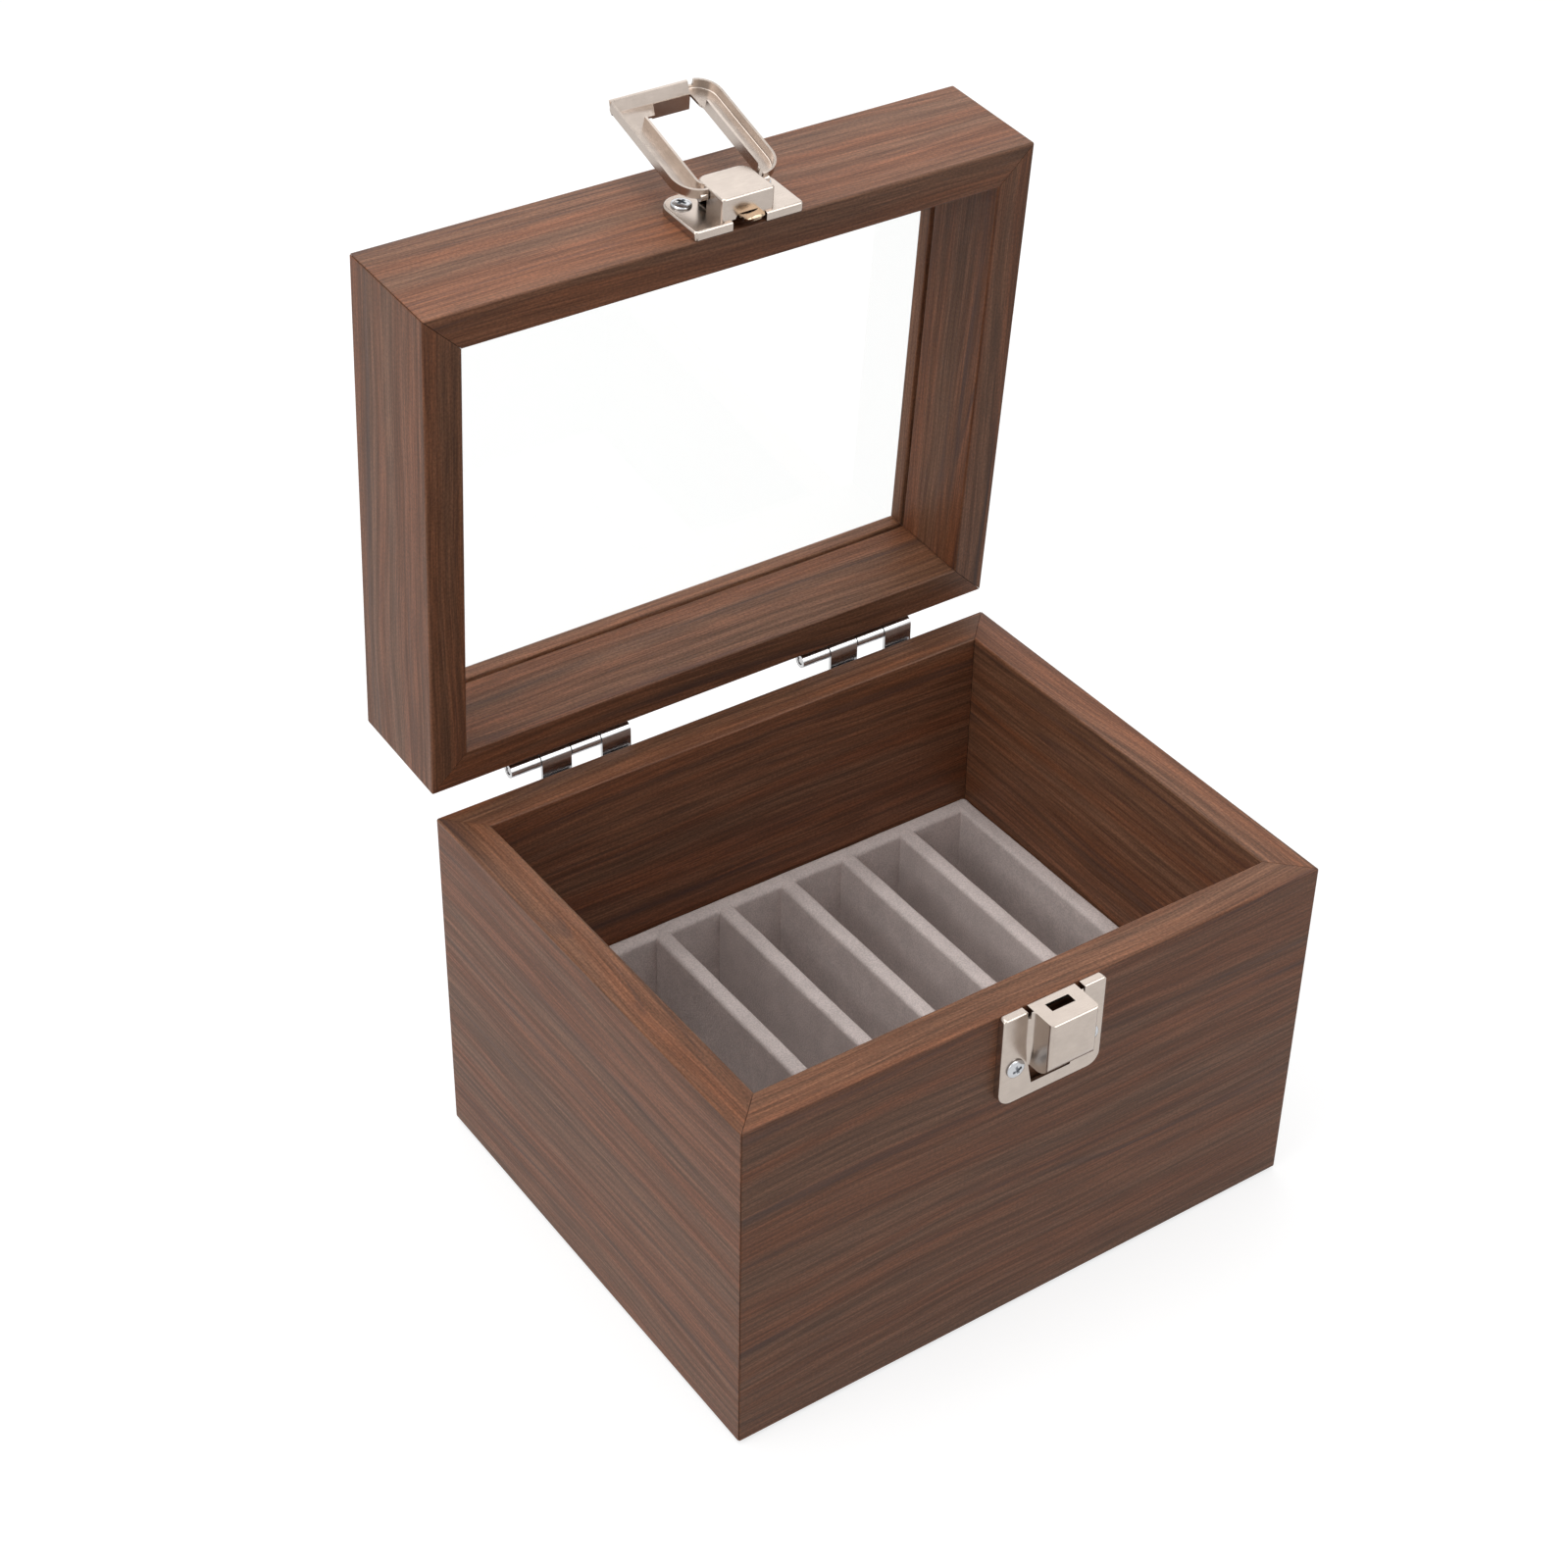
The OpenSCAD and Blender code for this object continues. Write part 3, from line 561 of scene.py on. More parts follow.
def plating_group():
    """Plated sheet: faint rolling lines, and a polish that is a little uneven."""
    group, given, result = node_group(
        "plating",
        [("Place", "Vector"), ("Metal", "Color"), ("Polish", "Float"), ("Uneven", "Float")],
        [("Color", "Color"), ("Roughness", "Float"), ("Height", "Float")],
    )
    place = given["Place"]
    mottle = cloud(group, place, MOTTLE_CELLS, 3, 0.6)
    rolling = cloud(group, place, ROLLING_CELLS)
    colour = toned(group, given["Metal"], mottle, 0.2, MOTTLE_TONE)
    colour = toned(group, colour, rolling, 0.2, ROLLING_TONE)
    patches = span(group, mottle, 0.3, 0.7)
    set_inputs(group, result, {
        "Color": colour,
        "Roughness": maths(group, "MULTIPLY_ADD", patches, given["Uneven"], given["Polish"]),
        "Height": maths(group, "ADD", rolling, mottle),
    })
    return group


plating = plating_group()


def plated_material(name, colour, polish, uneven, depth):
    """A plated metal: its colour, how rough it is, how uneven that is, and how deep its marks are."""
    material, tree, shader = new_material(name)
    place = add_node(tree, "TexCoord").outputs["Object"]
    given = {"Place": place, "Metal": colour, "Polish": polish, "Uneven": uneven}
    look = add_node(tree, "Group", given, node_tree=plating).outputs
    set_inputs(tree, shader, {
        "Base Color": look["Color"],
        "Roughness": look["Roughness"],
        "Normal": bump_from(tree, look["Height"], depth),
        "Metallic": 1.0,
    })
    return material


bright_steel = plated_material("bright_hinge_steel", BRIGHT, polish=0.17, uneven=0.04, depth=0.000002)
zinc = plated_material("zinc_screw_steel", ZINC, polish=0.2, uneven=0.06, depth=0.000003)


def combine(first, second, how):
    """Joins, cuts or crosses two closed meshes, and gives the mesh that is left."""
    holders = []
    for part in (first, second):
        data = bpy.data.meshes.new("part")
        part.to_mesh(data)
        part.free()
        holders.append(bpy.data.objects.new("part", data))
        scene.collection.objects.link(holders[-1])
    cut = holders[0].modifiers.new("combine", "BOOLEAN")
    cut.operation = how
    cut.solver = "EXACT"
    cut.object = holders[1]
    result = bmesh.new()
    result.from_object(holders[0], bpy.context.evaluated_depsgraph_get())
    for holder in holders:
        bpy.data.meshes.remove(holder.data)
    bmesh.ops.remove_doubles(result, verts=result.verts, dist=0.002)
    bmesh.ops.dissolve_limit(
        result, angle_limit=math.radians(0.5), verts=result.verts, edges=result.edges,
    )
    return result


def cut_away(mesh, *cutters):
    """Cuts each cutter from a mesh in turn."""
    for cutter in cutters:
        mesh = combine(mesh, cutter, "DIFFERENCE")
    return mesh


def push(mesh, faces, way):
    """Extrudes faces along a way."""
    pushed = bmesh.ops.extrude_face_region(mesh, geom=faces)["geom"]
    moved = [part for part in pushed if isinstance(part, bmesh.types.BMVert)]
    bmesh.ops.translate(mesh, vec=way, verts=moved)


def block_from(outline, way):
    """A closed block: a flat outline pushed along a way."""
    block = bmesh.new()
    face = block.faces.new([block.verts.new(point) for point in outline])
    push(block, [face], way)
    bmesh.ops.recalc_face_normals(block, faces=block.faces)
    return block


def round_bar(radius, start, end, segments=32):
    """A round bar, or a cutter for a round hole, between two points."""
    start = Vector(start)
    way = Vector(end) - start
    bar = bmesh.new()
    bmesh.ops.create_cone(
        bar, cap_ends=True, segments=segments, radius1=radius, radius2=radius, depth=way.length,
    )
    turn = way.to_track_quat("Z", "Y").to_matrix().to_4x4()
    bmesh.ops.transform(bar, matrix=Matrix.Translation(start + way / 2) @ turn, verts=bar.verts)
    return bar


def round_corners(mesh, test, radius, segments=6):
    """Rounds those corners of a flat outline whose place passes a test."""
    bmesh.ops.bevel(
        mesh, geom=[vert for vert in mesh.verts if test(vert.co)], offset=radius,
        offset_type="OFFSET", affect="VERTICES", segments=segments, profile=0.5, material=-1,
    )


def leaf_plate():
    """The flat of a leaf, its outer corners rounded; x along the pin, y out and z up from it."""
    plate = bmesh.new()
    half = HINGE_LEN / 2
    spots = [(-half, LEAF_FOOT), (half, LEAF_FOOT), (half, LEAF_TOP), (-half, LEAF_TOP)]
    plate.faces.new([plate.verts.new((x, -AXIS_OUT, z)) for x, z in spots])
    round_corners(plate, lambda place: place.z < LEAF_TOP - 1, LEAF_CORNER)
    push(plate, plate.faces[:], (0, LEAF_T, 0))
    bmesh.ops.recalc_face_normals(plate, faces=plate.faces)
    return plate


def rolled_strap(start):
    """A strap that steps out from the leaf and curls round the pin, one barrel long from start."""
    strap = bmesh.new()
    begin = math.radians(CURL_START)
    curl = Vector((0, math.cos(begin), math.sin(begin)))
    edge = Vector((start, 0, 0))
    path = [
        ((start, -AXIS_OUT, STRAP_FOOT), (start, -AXIS_OUT + LEAF_T, STRAP_FOOT)),
        ((start, -KNUCKLE_R, STRAP_HEAD), (start, -KNUCKLE_BORE, STRAP_HEAD - STRAP_TUCK)),
        (edge + curl * KNUCKLE_R, edge + curl * KNUCKLE_BORE),
    ]
    rungs = [[strap.verts.new(place) for place in rung] for rung in path]
    for low, high in zip(rungs, rungs[1:]):
        strap.faces.new((low[0], low[1], high[1], high[0]))
    last = strap.edges.get(rungs[-1])
    bmesh.ops.spin(
        strap, geom=[last] + rungs[-1], cent=edge, axis=(1, 0, 0),
        angle=-math.radians(CURL_TURN), steps=CURL_STEPS, use_merge=False,
    )
    bmesh.ops.remove_doubles(strap, verts=strap.verts, dist=0.001)
    push(strap, strap.faces[:], (KNUCKLE_LEN, 0, 0))
    bmesh.ops.recalc_face_normals(strap, faces=strap.faces)
    return strap


def hinge_leaf(first):
    """A leaf with two rolled barrels, of which the first is at a given turn along the pin."""
    leaf = leaf_plate()
    for turn in (first, first + 2):
        strap = rolled_strap(turn * (KNUCKLE_LEN + KNUCKLE_GAP) - HINGE_LEN / 2)
        leaf = combine(leaf, strap, "UNION")
    for side in (-1, 1):
        spot = Vector((side * LEAF_SCREW_X, -AXIS_OUT, LEAF_SCREW_Z))
        hole = round_bar(HOLE_R, spot - Vector((0, 1, 0)), spot + Vector((0, 2, 0)))
        leaf = cut_away(leaf, hole)
    soften(leaf, sharp_edges(leaf, 40), METAL_SOFT, 2)
    return leaf


def pan_screw(head_r):
    """A small pan head screw with a cross recess; its head's underside is on z = 0."""
    outline = [(0, -SHANK_LEN), (SHANK_R / 4, -SHANK_LEN), (SHANK_R, SHANK_POINT - SHANK_LEN)]
    outline += [(SHANK_R, 0), (head_r - HEAD_RIM, 0), (head_r, HEAD_RIM)]
    for step in range(HEAD_STEPS + 1):
        rise = math.radians(90 * step / HEAD_STEPS)
        outline.append((head_r * math.cos(rise), HEAD_EDGE + (HEAD_H - HEAD_EDGE) * math.sin(rise)))
    screw = bmesh.new()
    verts = [screw.verts.new((max(r, 0), 0, z)) for r, z in outline]
    edges = [screw.edges.new(pair) for pair in zip(verts, verts[1:])]
    bmesh.ops.spin(
        screw, geom=verts + edges, cent=(0, 0, 0), axis=(0, 0, 1),
        angle=2 * math.pi, steps=32, use_merge=True,
    )
    bmesh.ops.remove_doubles(screw, verts=screw.verts, dist=0.001)
    bmesh.ops.recalc_face_normals(screw, faces=screw.faces)
    end = head_r * RECESS_LEN
    half = head_r * RECESS_HALF
    for turn in (0, 90):
        blade = plain_block((-end, -half, HEAD_H * RECESS_FOOT), (end, half, 2))
        for vert in blade.verts:
            if vert.co.z < HEAD_H:
                vert.co.x *= RECESS_TAPER
        spin = Matrix.Rotation(math.radians(SCREW_TURN + turn), 4, "Z")
        bmesh.ops.transform(blade, matrix=spin, verts=blade.verts)
        screw = cut_away(screw, blade)
    return screw


def screw_set(name, body, node, head_r, places):
    """Like screws in one piece, one at each place."""
    pattern = bpy.data.meshes.new("pattern")
    screw = pan_screw(head_r)
    screw.to_mesh(pattern)
    screw.free()
    screws = bmesh.new()
    for place in places:
        known = len(screws.verts)
        screws.from_mesh(pattern)
        screws.verts.ensure_lookup_table()
        bmesh.ops.transform(screws, matrix=place, verts=screws.verts[known:])
    bpy.data.meshes.remove(pattern)
    finish_piece(screws, name, body, zinc, [node])


def screw_places(spots, turn, on_body):
    """Where screws go, whose heads turn about the x axis from facing up."""
    facing = Matrix.Rotation(math.radians(turn), 4, "X")
    return [on_body @ Matrix.Translation(spot) @ facing for spot in spots]


def leaf_screw_places(height, on_body):
    """Where the four screws of a pair of leaves go, facing back."""
    spots = []
    for hinge_x in (-HINGE_X, HINGE_X):
        for side in (-1, 1):
            spots.append((hinge_x + side * LEAF_SCREW_X, HALF_D + LEAF_T, height))
    return screw_places(spots, -90, on_body)


for side, name in ((-1, "left"), (1, "right")):
    pin_place = Matrix.Translation((side * HINGE_X, AXIS_Y, AXIS_Z))
    base_leaf = hinge_leaf(1)
    bmesh.ops.transform(base_leaf, matrix=pin_place, verts=base_leaf.verts)
    base_node = f"{name}_hinge_base_leaf"
    finish_piece(base_leaf, f"{name}_base_leaf", "base", bright_steel, [base_node])
    lid_leaf = hinge_leaf(0)
    bmesh.ops.scale(lid_leaf, vec=(1, 1, -1), verts=lid_leaf.verts)
    bmesh.ops.reverse_faces(lid_leaf, faces=lid_leaf.faces)
    bmesh.ops.transform(lid_leaf, matrix=LID_OPEN @ pin_place, verts=lid_leaf.verts)
    lid_node = f"{name}_hinge_lid_leaf"
    finish_piece(lid_leaf, f"{name}_lid_leaf", "lid", bright_steel, [lid_node])
    pin_low, pin_high = node_box(f"{name}_hinge_pin")
    pin = round_bar(
        (pin_high.z - pin_low.z) / 2, (pin_low.x, AXIS_Y, AXIS_Z), (pin_high.x, AXIS_Y, AXIS_Z),
    )
    soften(pin, sharp_edges(pin, 60), HINGE_PIN_SOFT, 3)
    finish_piece(pin, f"{name}_pin", "base", bright_steel, [f"{name}_hinge_pin"])

base_screw_places = leaf_screw_places(AXIS_Z + LEAF_SCREW_Z, Matrix.Identity(4))
screw_set("base_leaf_screws", "base", "hinge_base_screws", HINGE_HEAD_R, base_screw_places)
lid_screw_places = leaf_screw_places(AXIS_Z - LEAF_SCREW_Z, LID_OPEN)
screw_set("lid_leaf_screws", "lid", "hinge_lid_screws", HINGE_HEAD_R, lid_screw_places)


# The keeper on the base
# A satin nickel pressing: a shallow dished plate with a deep square housing drawn out of it, which
# has a slot in its top for the hook and notches beside it. A window is pierced under its round foot.
CLASP_X = 1.0
SHEET_T = 0.7
# Two small steps keep the faces of neighbouring cuts apart, and a cutter this long goes right through.
HAIR = 0.05
TOUCH = 0.01
THROUGH = 5
PLATE_HALF = 12.5
PLATE_OUT = 1.9
PLATE_BEND = 0.5
TIGHT_R = 0.8
PLATE_SCREW_X = 9.1
CLASP_HEAD_R = 2.1
KEEPER_TOP = BASE_RIM - 0.4
KEEPER_H = 22.0
KEEPER_CORNER = 3.0
KEEPER_SCREW_Z = -13.0
HOUSE_HALF = 5.75
HOUSE_OUT = 8.0
HOUSE_H = 13.6
HOUSE_EDGE = 1.1
HOUSE_BEND = 0.5
HOUSE_FOOT = 4.2
HOUSE_FILLET = 1.4
HOUSE_SUNK = 0.5
FILLET_FADE = ((0.5, 1.0), (-7.5, 1.0), (-10.5, 0.75), (-12.3, 0.55), (-HOUSE_H, 0.3))
SLOT_HALF = 2.8
SLOT_IN = 1.8
SLOT_OUT = 4.1
NOTCH_W = 1.2
NOTCH_DEEP = 1.7
NOTCH_OUT = 2.2
PIERCE_TOP_HALF = 5.9
PIERCE_FOOT_HALF = 4.8
PIERCE_FOOT = 18.8
NICKEL = (0.475, 0.41, 0.362, 1)
nickel = plated_material("satin_nickel", NICKEL, polish=0.23, uneven=0.04, depth=0.000003)


def arc(centre_x, centre_y, radius, start, end, steps=6):
    """Points along an arc, from one angle in degrees to another."""
    points = []
    for step in range(steps + 1):
        angle = math.radians(start + (end - start) * step / steps)
        points.append((centre_x + radius * math.cos(angle), centre_y + radius * math.sin(angle)))
    return points


def mirrored(half):
    """A whole outline from its left half."""
    return half + [(-x, y) for x, y in reversed(half)]


def front_rim(mesh, y):
    """The edges round the face that is furthest out from the wood."""
    return [edge for edge in mesh.edges if all(vert.co.y < y + TOUCH for vert in edge.verts)]


def clasp_slab(half, foot, top, depth, foot_r, top_r, bend=0.0):
    """A slab on the wood with rounded corners and a bent-over rim; x across, y out as minus, z up."""
    slab = bmesh.new()
    spots = [(-half, foot), (half, foot), (half, top), (-half, top)]
    slab.faces.new([slab.verts.new((x, 0, z)) for x, z in spots])
    middle = (foot + top) / 2
    round_corners(slab, lambda place: place.z < middle, foot_r)
    round_corners(slab, lambda place: place.z > top - 0.001, top_r)
    push(slab, slab.faces[:], (0, -depth, 0))
    bmesh.ops.recalc_face_normals(slab, faces=slab.faces)
    if bend:
        soften(slab, front_rim(slab, -depth), bend, 4)
    return slab


def slab_hollow(half, foot, top, out, foot_r, top_r):
    """The inside of such a slab, one sheet in from its outside and open to the wood."""
    deep = out - SHEET_T
    hollow = clasp_slab(
        half - SHEET_T, foot + SHEET_T, top - SHEET_T, 2 * deep, foot_r - SHEET_T, top_r - SHEET_T,
    )
    bmesh.ops.translate(hollow, vec=(0, deep, 0), verts=hollow.verts)
    return hollow


def house_profile(inset):
    """The side view of the housing, with its round foot, pushed right across it."""
    out = HOUSE_OUT - inset + TOUCH
    foot = HOUSE_H - inset
    radius = HOUSE_FOOT - inset
    bend = max(HOUSE_BEND - inset, HAIR)
    side = [(1.0, 0.0), (1.0, -foot)] + arc(-out + radius, -foot + radius, radius, 270, 180, 12)
    side += arc(-out + bend, -bend, bend, 180, 90)
    return block_from([(-20, y, z) for y, z in side], (40, 0, 0))


def keeper_house():
    """The housing outside, its sides flowing into the plate in fillets that fade towards the foot."""
    centre = PLATE_OUT + HOUSE_FILLET
    half = [(-HOUSE_HALF - HOUSE_FILLET, -PLATE_OUT + HOUSE_SUNK)]
    half += arc(-HOUSE_HALF - HOUSE_FILLET, -centre, HOUSE_FILLET, 90, 0)
    half += arc(-HOUSE_HALF + HOUSE_EDGE, -HOUSE_OUT + HOUSE_EDGE, HOUSE_EDGE, 180, 270)
    plan = mirrored(half)
    house = bmesh.new()
    rings = []
    for foot, shrink in FILLET_FADE:
        ring = []
        for x, y in plan:
            wide = max(abs(x) - HOUSE_HALF, 0) * (1 - shrink)
            deep = min(y + PLATE_OUT, 0) * (shrink - 1) if abs(x) > HOUSE_HALF else 0
            ring.append((x - math.copysign(wide, x), y + deep, foot))
        loop = closed_loop(house, ring)
        rings.append([part for part in loop if isinstance(part, bmesh.types.BMEdge)])
    for ring, following in zip(rings, rings[1:]):
        bmesh.ops.bridge_loops(house, edges=ring + following)
    bmesh.ops.holes_fill(house, edges=[edge for edge in house.edges if edge.is_boundary])
    bmesh.ops.recalc_face_normals(house, faces=house.faces)
    return combine(house, house_profile(0), "INTERSECT")


def keeper_hollow():
    """The housing's inside, one sheet in from its outside and open to the wood."""
    half = HOUSE_HALF - SHEET_T
    radius = HOUSE_EDGE - SHEET_T
    out = HOUSE_OUT - SHEET_T
    plan = mirrored([(-half, 0.5)] + arc(-half + radius, -out + radius, radius, 180, 270))
    inside = block_from([(x, y, -SHEET_T) for x, y in plan], (0, 0, -HOUSE_H))
    return combine(inside, house_profile(SHEET_T), "INTERSECT")


def clasp_screw_holes(mesh, height):
    """Drills a plate for its two screws."""
    for side in (-1, 1):
        spot = Vector((side * PLATE_SCREW_X, 0, height))
        hole = round_bar(HOLE_R, spot + Vector((0, 1, 0)), spot - Vector((0, 4, 0)))
        mesh = cut_away(mesh, hole)
    return mesh


def clasp_screw_places(height, out, on_body):
    """Where a plate's two screws go, facing forward."""
    spots = [(CLASP_X + side * PLATE_SCREW_X, -HALF_D - out, height) for side in (-1, 1)]
    return screw_places(spots, 90, on_body)


keeper = clasp_slab(PLATE_HALF, -KEEPER_H, 0, PLATE_OUT, KEEPER_CORNER, TIGHT_R, PLATE_BEND)
keeper = combine(keeper, keeper_house(), "UNION")
keeper = cut_away(
    keeper,
    slab_hollow(PLATE_HALF, -KEEPER_H, 0, PLATE_OUT, KEEPER_CORNER, TIGHT_R),
    keeper_hollow(),
    plain_block((-SLOT_HALF, -SLOT_OUT, -1), (SLOT_HALF, -SLOT_IN, 1)),
)
for side in (-1, 1):
    near, far = sorted((side * HOUSE_HALF, side * (HOUSE_HALF + NOTCH_W)))
    keeper = cut_away(keeper, plain_block((near, -NOTCH_OUT, -NOTCH_DEEP), (far, 1, 1)))
pierce_plan = mirrored([(-PIERCE_TOP_HALF, -HOUSE_H), (-PIERCE_FOOT_HALF, -PIERCE_FOOT)])
pierce = block_from([(x, 1, z) for x, z in pierce_plan], (0, -PLATE_OUT - 2, 0))
keeper = cut_away(keeper, pierce)
keeper = clasp_screw_holes(keeper, KEEPER_SCREW_Z)
soften(keeper, sharp_edges(keeper, 40), METAL_SOFT, 2)
bmesh.ops.translate(keeper, vec=(CLASP_X, -HALF_D, KEEPER_TOP), verts=keeper.verts)
finish_piece(keeper, "keeper", "base", nickel, ["keeper_plate"])
keeper_screw_places = clasp_screw_places(KEEPER_TOP + KEEPER_SCREW_Z, PLATE_OUT, Matrix.Identity(4))
screw_set("keeper_screw_pair", "base", "keeper_screws", CLASP_HEAD_R, keeper_screw_places)


# The catch on the lid
# The keeper's partner, pressed from the same sheet: a plate with a housing that carries the bail
# and the hook. Its foot flange has a gap, and the housing's foot an arch, for the hook. The
# housing's sides have a slit beside each trunnion of the bail.
CATCH_H = 14.2
CATCH_CORNER = 4.0
CATCH_SCREW_Z = 10.2
CASE_HALF = 6.0
CASE_OUT = 6.7
CASE_FOOT = 0.7
CASE_TOP = 11.0
CASE_CORNER = 2.5
CASE_BEND = 0.5
MOUTH_HALF = 3.85
ARCH_HALF = 2.9
ARCH_OUT = 2.95
ARCH_R = 1.2
BAIL_AXIS_OUT = 5.2
BAIL_UP = 6.3
TRUNNION_R = 0.55
SLIT_LEN = 3.0
SLIT_PAST = 0.2
PIVOT_R = TRUNNION_R + 0.05
TO_LID_CLASP = LID_OPEN @ Matrix.Translation((CLASP_X, -HALF_D, LID_Z))

catch = clasp_slab(PLATE_HALF, 0, CATCH_H, PLATE_OUT, TIGHT_R, CATCH_CORNER, PLATE_BEND)
case = clasp_slab(CASE_HALF, CASE_FOOT, CASE_TOP, CASE_OUT, TIGHT_R, CASE_CORNER, CASE_BEND)
catch = combine(catch, case, "UNION")
case_floor = CASE_FOOT + SHEET_T
half_arch = [(-ARCH_HALF, 1)] + arc(-ARCH_HALF + ARCH_R, -ARCH_OUT + ARCH_R, ARCH_R, 180, 270)
catch = cut_away(
    catch,
    slab_hollow(PLATE_HALF, 0, CATCH_H, PLATE_OUT, TIGHT_R, CATCH_CORNER),
    slab_hollow(CASE_HALF, CASE_FOOT, CASE_TOP, CASE_OUT, TIGHT_R, CASE_CORNER),
    plain_block((-MOUTH_HALF, -PLATE_OUT, -1), (MOUTH_HALF, 1, case_floor + TOUCH)),
    block_from([(x, y, -1) for x, y in mirrored(half_arch)], (0, 0, case_floor + 1 + TOUCH)),
)
catch = clasp_screw_holes(catch, CATCH_SCREW_Z)
pivot = round_bar(PIVOT_R, (-12, -BAIL_AXIS_OUT, BAIL_UP), (12, -BAIL_AXIS_OUT, BAIL_UP))
catch = cut_away(catch, pivot)
for side in (-1, 1):
    near, far = sorted((side * (CASE_HALF - SHEET_T - SLIT_PAST), side * (CASE_HALF + SLIT_PAST)))
    slit_end = (far, -PLATE_OUT - 0.1, BAIL_UP + SLIT_LEN)
    catch = cut_away(catch, plain_block((near, -BAIL_AXIS_OUT, BAIL_UP), slit_end))
soften(catch, sharp_edges(catch, 40), METAL_SOFT, 2)
bmesh.ops.transform(catch, matrix=TO_LID_CLASP, verts=catch.verts)
finish_piece(catch, "catch", "lid", nickel, ["catch_plate"])
catch_screw_places = clasp_screw_places(LID_Z + CATCH_SCREW_Z, PLATE_OUT, LID_OPEN)
screw_set("catch_screw_pair", "lid", "catch_screws", CLASP_HEAD_R, catch_screw_places)


# The hook inside the catch
# A dished tongue of spring brass that hangs on a pin across the housing, with a barb that snaps
# into the keeper's slot. A leaf spring behind it presses it outwards.
HOOK_HALF = 2.4
HOOK_IN = 2.0
HOOK_T = 0.8
HOOK_REACH = 2.25
HOOK_TIP_UP = 1.2
HOOK_TIP_IN = 0.4
HOOK_TIP_FOOT = 0.3
HOOK_BARB_H = 0.5
HOOK_BARB_OUT = 0.8
HOOK_BARB_SLOPE = 0.08
HOOK_BARB_TAPER = 1.6
HOOK_BARB_LEAST = 0.02
HOOK_PIN_OUT = 3.6
HOOK_PIN_UP = 7.9
HOOK_PIN_R = 0.55
HOOK_EYE_R = 1.3
HOOK_NECK_OUT = 2.4
HOOK_NECK_IN = 1.2
HOOK_CUTS = 9
HOOK_DISH = 0.4
HOOK_DISH_REST = 0.375
HOOK_DISH_START = 3
HOOK_DISH_RUN = 4
HOOK_ROUND = 1.1
BRASS = (0.40, 0.31, 0.22, 1)
brass = plated_material("spring_brass", BRASS, polish=0.16, uneven=0.06, depth=0.000003)
hook_out = -HOOK_IN - HOOK_T
barb_out = hook_out - HOOK_BARB_OUT
hook_side = [
    (-HOOK_IN, HOOK_TIP_UP - HOOK_REACH), (-HOOK_IN - HOOK_TIP_IN, HOOK_TIP_FOOT - HOOK_REACH),
    (barb_out + HOOK_TIP_IN, -HOOK_REACH), (barb_out, HOOK_BARB_H / 2 - HOOK_REACH),
    (barb_out + 0.1, HOOK_BARB_H - HOOK_REACH),
    (hook_out, HOOK_BARB_H + HOOK_BARB_SLOPE - HOOK_REACH), (hook_out, HOOK_PIN_UP - HOOK_NECK_OUT),
]
hook_side += reversed(arc(-HOOK_PIN_OUT, HOOK_PIN_UP, HOOK_EYE_R, -20, 200, 12))
hook_side.append((-HOOK_IN, HOOK_PIN_UP - HOOK_NECK_IN))
hook = block_from([(-HOOK_HALF, y, z) for y, z in hook_side], (2 * HOOK_HALF, 0, 0))
across = [edge for edge in hook.edges if abs(edge.verts[0].co.x - edge.verts[1].co.x) > HOOK_HALF]
bmesh.ops.subdivide_edges(hook, edges=across, cuts=HOOK_CUTS)
for vert in hook.verts:
    edge_near = (vert.co.x / HOOK_HALF) ** 2
    low = min(max((HOOK_PIN_UP - HOOK_DISH_START - vert.co.z) / HOOK_DISH_RUN, 0), 1)
    if vert.co.y < hook_out - TOUCH and vert.co.z < 0:
        barb_left = max(1 - HOOK_BARB_TAPER * edge_near, HOOK_BARB_LEAST)
        vert.co.y = hook_out + (vert.co.y - hook_out) * barb_left
    vert.co.y += HOOK_DISH * low * (HOOK_DISH_REST - edge_near)
    if vert.co.z < 0:
        vert.co.z += HOOK_ROUND * edge_near ** 3
pin_start = (-THROUGH, -HOOK_PIN_OUT, HOOK_PIN_UP)
pin_end = (THROUGH, -HOOK_PIN_OUT, HOOK_PIN_UP)
hook = cut_away(hook, round_bar(HOOK_PIN_R, pin_start, pin_end, 24))
bmesh.ops.transform(hook, matrix=TO_LID_CLASP, verts=hook.verts)
finish_piece(hook, "hook_tongue", "hook", brass, ["clasp_hook"])
for node in ("clasp_hook_spring", "clasp_hook_pin"):
    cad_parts[node].data.materials.clear()
    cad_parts[node].data.materials.append(brass)


# The bail
# A ring pressed from satin nickel sheet into a channel, open towards the wood when it is shut. Its
# near ends turn in to two trunnions, and its far bar has a slanted lip and a finger tab bent out
# of the web.
BAIL_HALF = 11.65
BAIL_NEAR = 0.6
BAIL_REACH = 27.9
NEAR_CORNER = 5.4
FAR_RIGHT_CORNER = 4.8
FAR_LEFT_CORNER = 1.3
EYE_HALF = 6.85
EYE_NEAR = 1.2
EYE_REACH = 22.9
EYE_CORNER = 1.5
BAIL_SHEET = 0.5
BAIL_DEEP = 2.0
BAIL_FACE = -0.5
BAIL_BEND = 0.65
BAIL_CREASE = 0.2
BAIL_SOFT = 0.08
RIM_LEFT = 0.25
HUB_IN = 6.25
HUB_R = 0.95
HUB_LEN = 1.6
LIP_DEEP = 2.0
LIP_LEAN = 1.5
LIP_ROOT = 0.3
LIP_NOTCH = 1.4
LIP_NOTCH_IN = 0.6
LIP_SHY = 0.02
FLANGE_CLEAR = 1.2
TAB_LEFT = -2.4
TAB_RIGHT = 6.2
TAB_SPREAD = 1.8
TAB_FOOT = 1.6
TAB_DROP = 2.7
TAB_LEAN = 0.7
BAIL_TURN = 165.6


